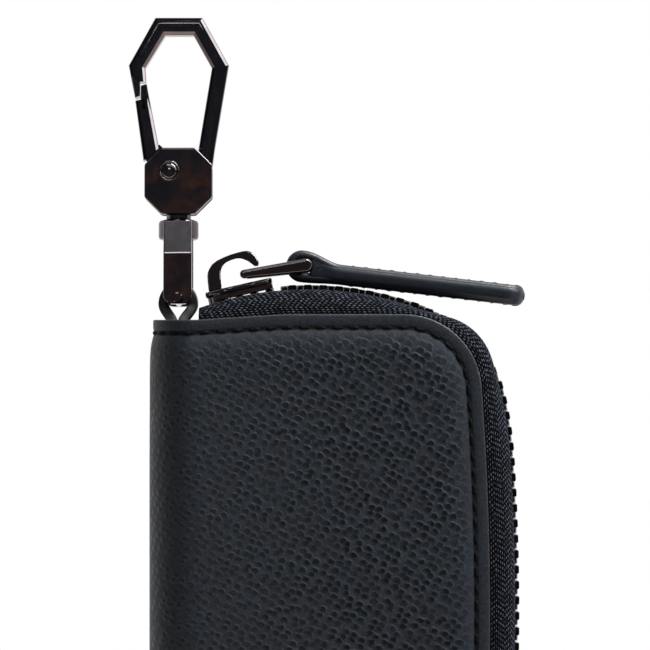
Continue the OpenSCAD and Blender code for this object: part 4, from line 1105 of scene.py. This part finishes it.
# The line's stations are x, y, z and half the strip's width
def leatherStrip(name, line, thick, materials, soft, corner=3):
    points = []
    angles = [90 * k / corner for k in range(corner + 1)]
    for i, (x, y, z, half) in enumerate(line):
        before, after = line[max(0, i - 1)], line[min(len(line) - 1, i + 1)]
        ahead = Vector((after[0] - before[0], after[1] - before[1])).normalized()
        r = min(soft, half * 0.6)
        points += [(x - ahead[1] * n, y + ahead[0] * n, z + w)
                   for n, w in roundedBox(thick / 2, half, (r, r), r, angles)]
    # The two flat faces keep the leather, the corners and edges take the paint
    paint = ([1] * (corner + 1) + [1] * corner + [0]) * 2
    kinds = paint * (len(line) - 1) + [1, 1]
    return tidyMesh(makeObject(name, points, ringFaces(len(line), len(paint)), materials, kinds), merge=0)


strap = {"at": (-3.382, 62.771, midZ), "angle": -6.7, "length": 41.0, "width": 7.6, "thick": 1.8,
         "ring": 2.0, "layer": 0.915, "drop": 0.72, "wrap": 7.2, "endShare": 0.3, "stitchInset": 1.3,
         "stitchPitch": 2.4, "sunk": 0.1}
strapSteps = {"tip": 12, "run": 36, "wrap": 14, "ring": 24, "seam": 30}
core = {"start": 1.5, "proud": 0.25, "round": 1.45, "cap": 1.2, "steps": 60, "corner": 9}
strapHalfWidth, capX = strap["width"] / 2, strap["length"] - core["cap"]


def strapHalf(x):
    over = max(0, x - strap["length"] + strapHalfWidth) / strapHalfWidth
    return strapHalfWidth * max(strap["endShare"], sqrt(max(0, 1 - over ** 2)))


def strapY(x, side):
    f = easeIn(x / strap["wrap"])
    return side * strap["ring"] * (1 - f) + (side * strap["layer"] - strap["drop"]) * f


tipX = strap["length"] - strapHalfWidth
tipArc = arc(tipX, 0, strapHalfWidth, 0, halfPi, strapSteps["tip"])[:-1]
strapXs = [capX] + [x for x, _ in tipArc if x < capX - 0.05]
strapXs += [tipX - (tipX - strap["wrap"]) * k / strapSteps["run"] for k in range(strapSteps["run"])]
strapXs += [strap["wrap"] * (1 - k / strapSteps["wrap"]) for k in range(strapSteps["wrap"])]
ringArc = arc(0, 0, strap["ring"], halfPi, 3 * halfPi, strapSteps["ring"])[1:-1]
strapLine = [(x, strapY(x, 1), 0, strapHalf(x)) for x in strapXs]
strapLine += [(x, y, 0, strapHalfWidth) for x, y in ringArc]
strapLine += [(x, strapY(x, -1), 0, strapHalf(x)) for x in strapXs[::-1]]
strapLayers = leatherStrip("layers", strapLine, strap["thick"], [strapLeather, strapEdge], 0.85, 6)


# The two layers' edges are painted as one rounded edge, which also closes the tip
def paintedCore():
    points = []
    angles = [90 * k / core["corner"] for k in range(core["corner"] + 1)]
    stations = [core["start"] + (capX - core["start"]) * k / core["steps"] for k in range(core["steps"] + 1)]
    stations += [capX + core["cap"] * sin(halfPi * k / 8) for k in range(1, 9)]
    for x in stations:
        upper, lower = strapY(x, 1), strapY(x, -1)
        cap = sqrt(max(0.12, 1 - max(0, (x - capX) / core["cap"]) ** 2))
        half = ((upper - lower + strap["thick"]) / 2 - 0.02) * cap
        wide = strapHalf(x) + core["proud"] * easeIn((x - strap["wrap"] + 4) / 4)
        r = min(half, core["round"], wide)
        points += [(x, (upper + lower) / 2 + y, z) for y, z in roundedBox(half, wide, (r, r), r, angles)]
    faces = ringFaces(len(stations), 4 * len(angles))
    return tidyMesh(makeObject("core", points, faces, [strapEdge]), merge=0)


strapFrame = turnedFrame(strap["at"], strap["angle"])
strapPiece = joined("zip_pull_strap", [strapLayers, paintedCore()])
rides(placed(strapPiece, strapFrame), "pull_strap", "strap_leather", "pull_strap")

# Stitch row round the strap, on both faces
seamStart, seamHalf = strap["wrap"] + 0.4, strapHalfWidth - strap["stitchInset"]
seamTurn = strap["length"] - strap["stitchInset"] - seamHalf
seamRun = [seamStart + (seamTurn - seamStart) * k / strapSteps["seam"] for k in range(strapSteps["seam"] + 1)]
seamFlat = [(x, seamHalf) for x in seamRun]
seamFlat += arc(seamTurn, 0, seamHalf, halfPi, -halfPi, strapSteps["ring"], 1)
seamFlat += [(x, -seamHalf) for x in seamRun[-2::-1]]
strapSeam = []
for face in (1, -1):
    over = face * (strap["thick"] / 2 - strap["sunk"])
    line = [((x, strapY(x, face) + over, z), (0, face, 0)) for x, z in seamFlat]
    strapSeam += evenPlaces(line, strap["stitchPitch"], 0.5, 0.5)
strapStitches = repeated("zip_pull_strap_stitches", strapSeam, stitchShape, thread, 0.72, 0.05, 3, seed=11)
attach(placed(strapStitches, strapFrame), "pull_strap")

# Loop under the clip: it leaves the spine as one flat pair of layers and opens round the eye's bar
loop = {"exitZ": 8.4, "thick": 1.8, "belly": 2.7, "head": 3.15, "tail": 7.4, "leg": 0.915, "bellyY": 55.9,
        "tailSteps": 26, "headSteps": 28}
loopX, barY, barZ = hook["at"]


# 0 at the flare's root, 1 at the belly
def flareAt(y):
    return (y - loop["bellyY"]) / (loop["tail"] / 2) + 1


def loopZ(y):
    return barZ - (y - barY) * tan(tilt) + (loop["exitZ"] - barZ) * easeIn(1 - flareAt(y))


def loopHalf(y):
    return loop["leg"] + (loop["belly"] - loop["leg"]) * easeIn(flareAt(y))


loopYs = [loop["bellyY"] - loop["tail"] * (1 - k / loop["tailSteps"]) for k in range(loop["tailSteps"])]
loopFlat = [(-loopHalf(y), y) for y in loopYs]
loopFlat += [(loop["belly"] * x, loop["bellyY"] + loop["head"] * y)
             for x, y in arc(0, 0, 1, pi, 0, loop["headSteps"])]
loopFlat += [(loopHalf(y), y) for y in loopYs[::-1]]
loopLine = [(x, y, loopZ(y), hook["loopWidth"] / 2) for x, y in loopFlat]
loopPiece = leatherStrip("clip_leather_loop", loopLine, loop["thick"], [strapLeather, shadedLoopEdge], 0.35)
rides(moved(loopPiece, loopX, 0), "clip_loop", "strap_leather", "clip_loop")

# The patch lies on the spine's inside and holds the loop's ends
patch = {"from": (47.2, 8.0), "to": (50.3, 13.0), "wall": -29.1, "face": -28.03}
patchPiece = prism("clip_loop_patch", box(*patch["from"], *patch["to"]), patch["wall"], patch["face"],
                   strapLeather, 0.25, 3, "x")
rides(patchPiece, "spine", "strap_leather", "loop_patch")
print("strap and loop made")


# Inside: end stops, linings, hook rail, key hooks and card pockets
stopS = zipLength - stop["length"] / 2 - stop["gap"]
stopOutline = box(-stop["length"] / 2, stop["low"], stop["length"] / 2, stop["high"])
for half, body, side in (("front", "front_half", 1), ("back", "back_half", -1)):
    (x, y), h = zipAt(stopS)
    c, s = cos(h), sin(h)
    piece = prism(half + "_end_stop", stopOutline, -stop["thick"] / 2, stop["thick"] / 2, gunmetal, 0.45, 3,
                  "y")
    placed(piece, axesAt((x, y, midZ), (c, -s, 0), (side * s, side * c, 0), (0, 0, side)))
    finishMetal(piece, body, half + "_stop", sharp=40)

# Linings, with the inner side of the case's seam
liningPanel = {"inset": 0.8, "start": -22.1, "low": 2.2, "high": 3.0, "seam": 2.4, "seamStart": -20.6}


def panelOutline(inset, start):
    half = [(start, halfH - inset - dropAt(start)), (dropX, halfH - inset)]
    half += arc(cornerX, cornerY, case["cornerR"] - inset, halfPi, bowAngle, 16)
    half += arc(bowX, 0, case["bowR"] - inset, bowAngle, 0, 8, 1)
    return half + [(x, -y) for x, y in half[-2::-1]]


for half, body in (("front", "front_half"), ("back", "back_half")):
    low, high = liningPanel["low"], liningPanel["high"]
    if half == "front":
        low, high = case["depth"] - high, case["depth"] - low
    outline = panelOutline(liningPanel["inset"], liningPanel["start"])
    panel = prism(half + "_lining_panel", outline, low, high, lining, 0.2, 2)
    panel.data.set_sharp_from_angle(angle=radians(40))
    rides(panel, body, "lining", half + "_lining")
    face, up = (low, (0, 0, -1)) if half == "front" else (high, (0, 0, 1))
    seamLine = [((x, y, face), up) for x, y in panelOutline(liningPanel["seam"], liningPanel["seamStart"])]
    seam = repeated(half + "_lining_stitches", evenPlaces(seamLine, stitch["pitch"]), stitchShape, thread,
                    0.9, 0.05, 3, seed=8)
    rides(seam, body, "lining")
spineStrip = {"from": (-47, 8), "to": (47, 13), "wall": -29.1, "face": -28.3}
stripPiece = prism("spine_lining_strip", box(*spineStrip["from"], *spineStrip["to"]), spineStrip["wall"],
                   spineStrip["face"], lining, 0.25, 2, "x")
rides(stripPiece, "spine", "lining", "spine_lining")
for node in ("front_board", "back_board"):
    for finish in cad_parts[node].material_slots:
        finish.material = board

# Rail with its two ears, rivets and bar
rail = {"x": 1.0, "half": 22.3, "y": 36.88, "width": 9.0, "low": 3.0, "thick": 0.8, "ear": 1.1,
        "earDepth": 3.2, "earR": 1.6, "earShift": 0.48, "barY": 38.0, "barZ": 5.8, "barR": 0.8,
        "barHalf": 22.7, "rivetX": 14.0, "rivetY": 42.5}
railLeft, railRight, railY = rail["x"] - rail["half"], rail["x"] + rail["half"], rail["y"]
base = rounded(box(railLeft, railY, railRight, railY + rail["width"]), 3, 0.05)
earY = railY + rail["earDepth"]
ear = [(railY, rail["low"]), (earY, rail["low"]), (earY, rail["barZ"])]
ear += arc(rail["barY"] + rail["earShift"], rail["barZ"], rail["earR"], 0, pi, 16)[1:-1]
ear += [(railY, rail["barZ"])]
railParts = [prism("base", base, rail["low"], rail["low"] + rail["thick"], nickel, 0.22, 3)]
for start in (railLeft, railRight - rail["ear"]):
    railParts.append(prism("ear", ear, start, start + rail["ear"], nickel, 0.2, 3, "x"))
finishMetal(joined("key_rail", railParts), "back_half", "hook_rail", sharp=35, slotName="nickel")

rivetLine = [(1.0, 1.4), (1.0, 3.7), (1.9, 3.72), (2.0, 3.85), (1.97, 4.05), (1.82, 4.25), (1.5, 4.42),
             (1.0, 4.54), (0.4, 4.59), (0.0, 4.6)]
rivets = [moved(lathe("rivet", rivetLine, nickel, 40), rail["x"] + side * rail["rivetX"], rail["rivetY"])
          for side in (-1, 1)]
finishMetal(joined("key_rail_rivets", rivets), "back_half", "rail_rivets", sharp=50, slotName="nickel")
keyBar = roundBar("key_rail_bar", rail["barR"], 2 * rail["barHalf"], nickel)
alongX(keyBar, (rail["x"], rail["barY"], rail["barZ"]))
finishMetal(keyBar, "back_half", "key_bar", sharp=40, slotName="nickel")

# Key hooks: an open loop on a rolled barrel
keyHook = {"count": 6, "pitch": 7.0, "half": 2.8, "inner": 1.4, "neck": 1.4, "end": -9.0, "shoulder": -1.6,
           "top": -1.05, "loopTop": -3.0, "mouth": (-3.7, -5.9), "low": 4.1, "thick": 1.4, "barrelR": 1.6,
           "bore": 0.86, "barrelHalf": 2.24}
half, inner, neck, mouth, shoulder = (keyHook[key] for key in ("half", "inner", "neck", "mouth", "shoulder"))
outline = [(half, mouth[0]), (half, shoulder), (neck, shoulder + 0.3), (neck, keyHook["top"]),
           (-neck, keyHook["top"]), (-neck, shoulder + 0.3), (-half, shoulder)]
outline += arc(0, keyHook["end"], half, pi, 2 * pi, 20) + [(half, mouth[1]), (inner, mouth[1])]
outline += arc(0, keyHook["end"], inner, 0, -pi, 14)
outline += [(-inner, keyHook["loopTop"]), (inner, keyHook["loopTop"]), (inner, mouth[0])]
barrelR, barrelHalf = keyHook["barrelR"], keyHook["barrelHalf"]
barrelEnd = [(barrelR, barrelHalf - 0.15), (barrelR - 0.15, barrelHalf), (keyHook["bore"], barrelHalf)]
barrelLine = [(r, -z) for r, z in barrelEnd[::-1]] + barrelEnd
for number in range(1, keyHook["count"] + 1):
    node = "key_hook_" + str(number)
    openLoop = prism("loop", outline, keyHook["low"], keyHook["low"] + keyHook["thick"], nickel, 0.32, 3)
    barrel = alongX(lathe("barrel", barrelLine, nickel, 40), (0, 0, rail["barZ"]))
    piece = joined("key_hook_piece_" + str(number), [openLoop, barrel])
    moved(piece, rail["x"] + (number - (keyHook["count"] + 1) / 2) * keyHook["pitch"], rail["barY"])
    finishMetal(piece, node, node, slotName="nickel")

# Card pockets: flat leather panels sewn on three sides
pocket = {"x": (-19.0, 23.0), "y": -48.0, "thick": 0.7, "room": 0.6, "rim": 2.0, "inset": 1.1, "pitch": 2.8,
          "cornerR": 2.5}
(x0, x1), y0, cornerR = pocket["x"], pocket["y"], pocket["cornerR"]


# Line down, across and up at some distance inside a pocket's edge, ending that far under its top
def pocketLine(y1, inset, under):
    r = cornerR - inset
    return ([(x0 + inset, y1 - under)] + arc(x0 + cornerR, y0 + cornerR, r, pi, 3 * halfPi, 6)
            + arc(x1 - cornerR, y0 + cornerR, r, 3 * halfPi, 4 * halfPi, 6) + [(x1 - inset, y1 - under)])


for name, height, top in (("high", 44.0, 18.0), ("low", 34.0, 16.7)):
    y1, rim = y0 + height, pocket["rim"]
    low = top - pocket["room"] - pocket["thick"]
    outline = pocketLine(y1, 0, 0)
    innerLine = [(x1 - rim, y1), (x1 - rim, y0 + rim), (x0 + rim, y0 + rim), (x0 + rim, y1)]
    piece = joined("card_pocket_" + name + "_panel", [
        prism("face", outline, low, low + pocket["thick"], pocketLeather, 0.22, 2),
        prism("rim", outline + innerLine, low + pocket["thick"] - 0.1, top, pocketLeather)])
    piece.data.set_sharp_from_angle(angle=radians(40))
    rides(piece, "front_half", "pocket_leather", "card_pocket_" + name)
    seamLine = [((x, y, low), (0, 0, -1)) for x, y in pocketLine(y1, pocket["inset"], 0.4)]
    seam = repeated("card_pocket_" + name + "_stitches", evenPlaces(seamLine, pocket["pitch"]), stitchShape,
                    thread, 0.8, 0.05, 3, seed=5)
    rides(seam, "front_half", "pocket_leather")
for shape in (stitchShape, toothShape):
    dropObject(shape)
print("inside made")


# Floor, white to the camera and to mirrors
floorMesh = bpy.data.meshes.new("floor")
floorHalf, floorGap, worldLight = 3, 0.0003, 0.055
floorMesh.from_pydata([(x, y, 0) for x, y in box(-floorHalf, -floorHalf, floorHalf, floorHalf)], [],
                      [[0, 1, 2, 3]])
floor = newObject("floor", floorMesh)
floor.location.z = cadBox[0][2] - floorGap
floorFinish, floorTree, floorShader, _ = startMaterial("Pale floor", (0.82, 0.82, 0.82), 0.9)
paths = add(floorTree, "LightPath").outputs
seen = calc("MAXIMUM", paths["Is Camera Ray"], paths["Is Glossy Ray"])
seen = calc("MAXIMUM", seen, paths["Is Transmission Ray"])
white = add(floorTree, "Emission", {"Color": (1, 1, 1, 1), "Strength": 1.0})
plain = add(floorTree, "MixShader", {0: seen, 1: floorShader.outputs[0], 2: white.outputs[0]})
floorTree.links.new(plain.outputs[0], floorTree.nodes["Material Output"].inputs[0])
floorMesh.materials.append(floorFinish)

# A dome that only mirrors see, with pale patches where the polished metal's bevels look
dome = {"radius": 1.6, "detail": 4, "ground": (0.072, 0.084, 0.108), "cloth": (0.36, 0.175, 0.115),
        "clothSize": 30, "clothReach": 13.2}
# Each patch: direction and height over the floor, half width and height, soft rim, in degrees, and its glow
patches = [(180, 0, 40, 24, 10, (0.02, 0.02, 0.026)), (-5, 0, 15, 18, 8, (0.02, 0.02, 0.026)),
           (31, 20, 15, 9, 2, (7.2, 7.2, 7.4)), (-92, 33, 55, 16, 4, (1.9, 1.65, 1.5)),
           (-17, 28, 12, 12, 4, (1.5, 1.3, 1.2)), (203, 26, 16, 14, 5, (1.0, 0.8, 0.7)),
           (96, 62, 12, 5, 2, (0.56, 0.59, 0.62)), (96, 69, 12, 1.5, 0.8, (9.0, 9.0, 9.0)),
           (98, 33, 14, 9, 4, (2.2, 2.0, 1.9)), (96.65, 62, 0.06, 0.22, 0.04, (8.0, 9.5, 10.0)),
           (125, 87.2, 110, 1.9, 1.5, (0.11, 0.095, 0.095))]
domeMesh = bpy.data.meshes.new("mirror dome")
work = bmesh.new()
bmesh.ops.create_icosphere(work, subdivisions=dome["detail"], radius=dome["radius"])
work.to_mesh(domeMesh)
work.free()
domePiece = newObject("mirror dome", domeMesh)
domeFinish, domeTree, _, spot = startMaterial("Mirror dome", (0, 0, 0), 1.0)
x, y, z = parts(add(domeTree, "VectorMath", {0: spot}, operation="NORMALIZE").outputs[0])
level = calc("SQRT", minus(1.0, times(z, z)))
rise = calc("ARCSINE", z)


def within(offset, reach, soft):
    return calc("DIVIDE", minus(radians(reach + soft / 2), offset), radians(soft), clamp=True)


blotches = ramp(noise(spot, dome["clothSize"], 2.0), (0.52, 0.0), (0.58, 1.0))
light = mixed(within(calc("ARCCOSINE", z), dome["clothReach"], 2), dome["ground"],
              mixed(blotches, dome["ground"], dome["cloth"]))
for turn, height, halfWide, halfHigh, soft, glow in patches:
    c, s = cos(radians(turn)), sin(radians(turn))
    aside = calc("ARCCOSINE", calc("DIVIDE", plus(times(x, c), times(y, s)), level))
    over = calc("ABSOLUTE", minus(rise, radians(height)))
    light = mixed(times(within(aside, halfWide, soft), within(over, halfHigh, soft)), light, glow)
domeGlow = add(domeTree, "Emission", {"Color": light, "Strength": 1.0})
domeTree.links.new(domeGlow.outputs[0], domeTree.nodes["Material Output"].inputs[0])
domeMesh.materials.append(domeFinish)
for ray in ("camera", "diffuse", "shadow", "transmission"):
    setattr(domePiece, "visible_" + ray, False)

world = bpy.context.scene.world or bpy.data.worlds.new("Studio")
bpy.context.scene.world = world
world.use_nodes = True
background = world.node_tree.nodes["Background"]
background.inputs["Color"].default_value = (1, 1, 1, 1)
background.inputs["Strength"].default_value = worldLight

lamps = {
    "Key softbox": {"at": (0.36, 0.70, 0.125), "to": (0, 0.05, 0), "size": (0.45, 0.24), "watts": 12.4},
    "High softbox": {"at": (0.16, 0.62, 0.66), "to": (0, 0.06, 0), "size": (0.8, 0.12), "watts": 0.9},
    "Right softbox": {"at": (0.72, 0.36, 0.24), "to": (0, 0.03, 0), "size": (0.3, 0.6), "watts": 2.1,
                      "mirrored": False},
    "Left softbox": {"at": (-0.72, 0.3, 0.08), "to": (0, 0.03, 0), "size": (0.6, 0.1), "watts": 0.1},
}
for name, lamp in lamps.items():
    data = bpy.data.lights.new(name, "AREA")
    data.shape = "RECTANGLE"
    data.size, data.size_y = lamp["size"]
    data.energy = lamp["watts"]
    item = newObject(name, data)
    item.location = lamp["at"]
    item.rotation_euler = (Vector(lamp["to"]) - Vector(lamp["at"])).to_track_quat("-Z", "Y").to_euler()
    item.visible_glossy = lamp.get("mirrored", True)

lens = {"at": (0.81, 52.06, 671), "focal": 200, "sensor": 36, "clip": (0.05, 10)}
cameraData = bpy.data.cameras.new("Camera")
cameraData.lens = lens["focal"]
cameraData.sensor_width = lens["sensor"]
cameraData.clip_start, cameraData.clip_end = lens["clip"]
camera = newObject("Camera", cameraData)
camera.location = Vector(lens["at"]) * mm
bpy.context.scene.camera = camera
bpy.context.scene.view_settings.view_transform = "Standard"
print("floor, light and camera made")
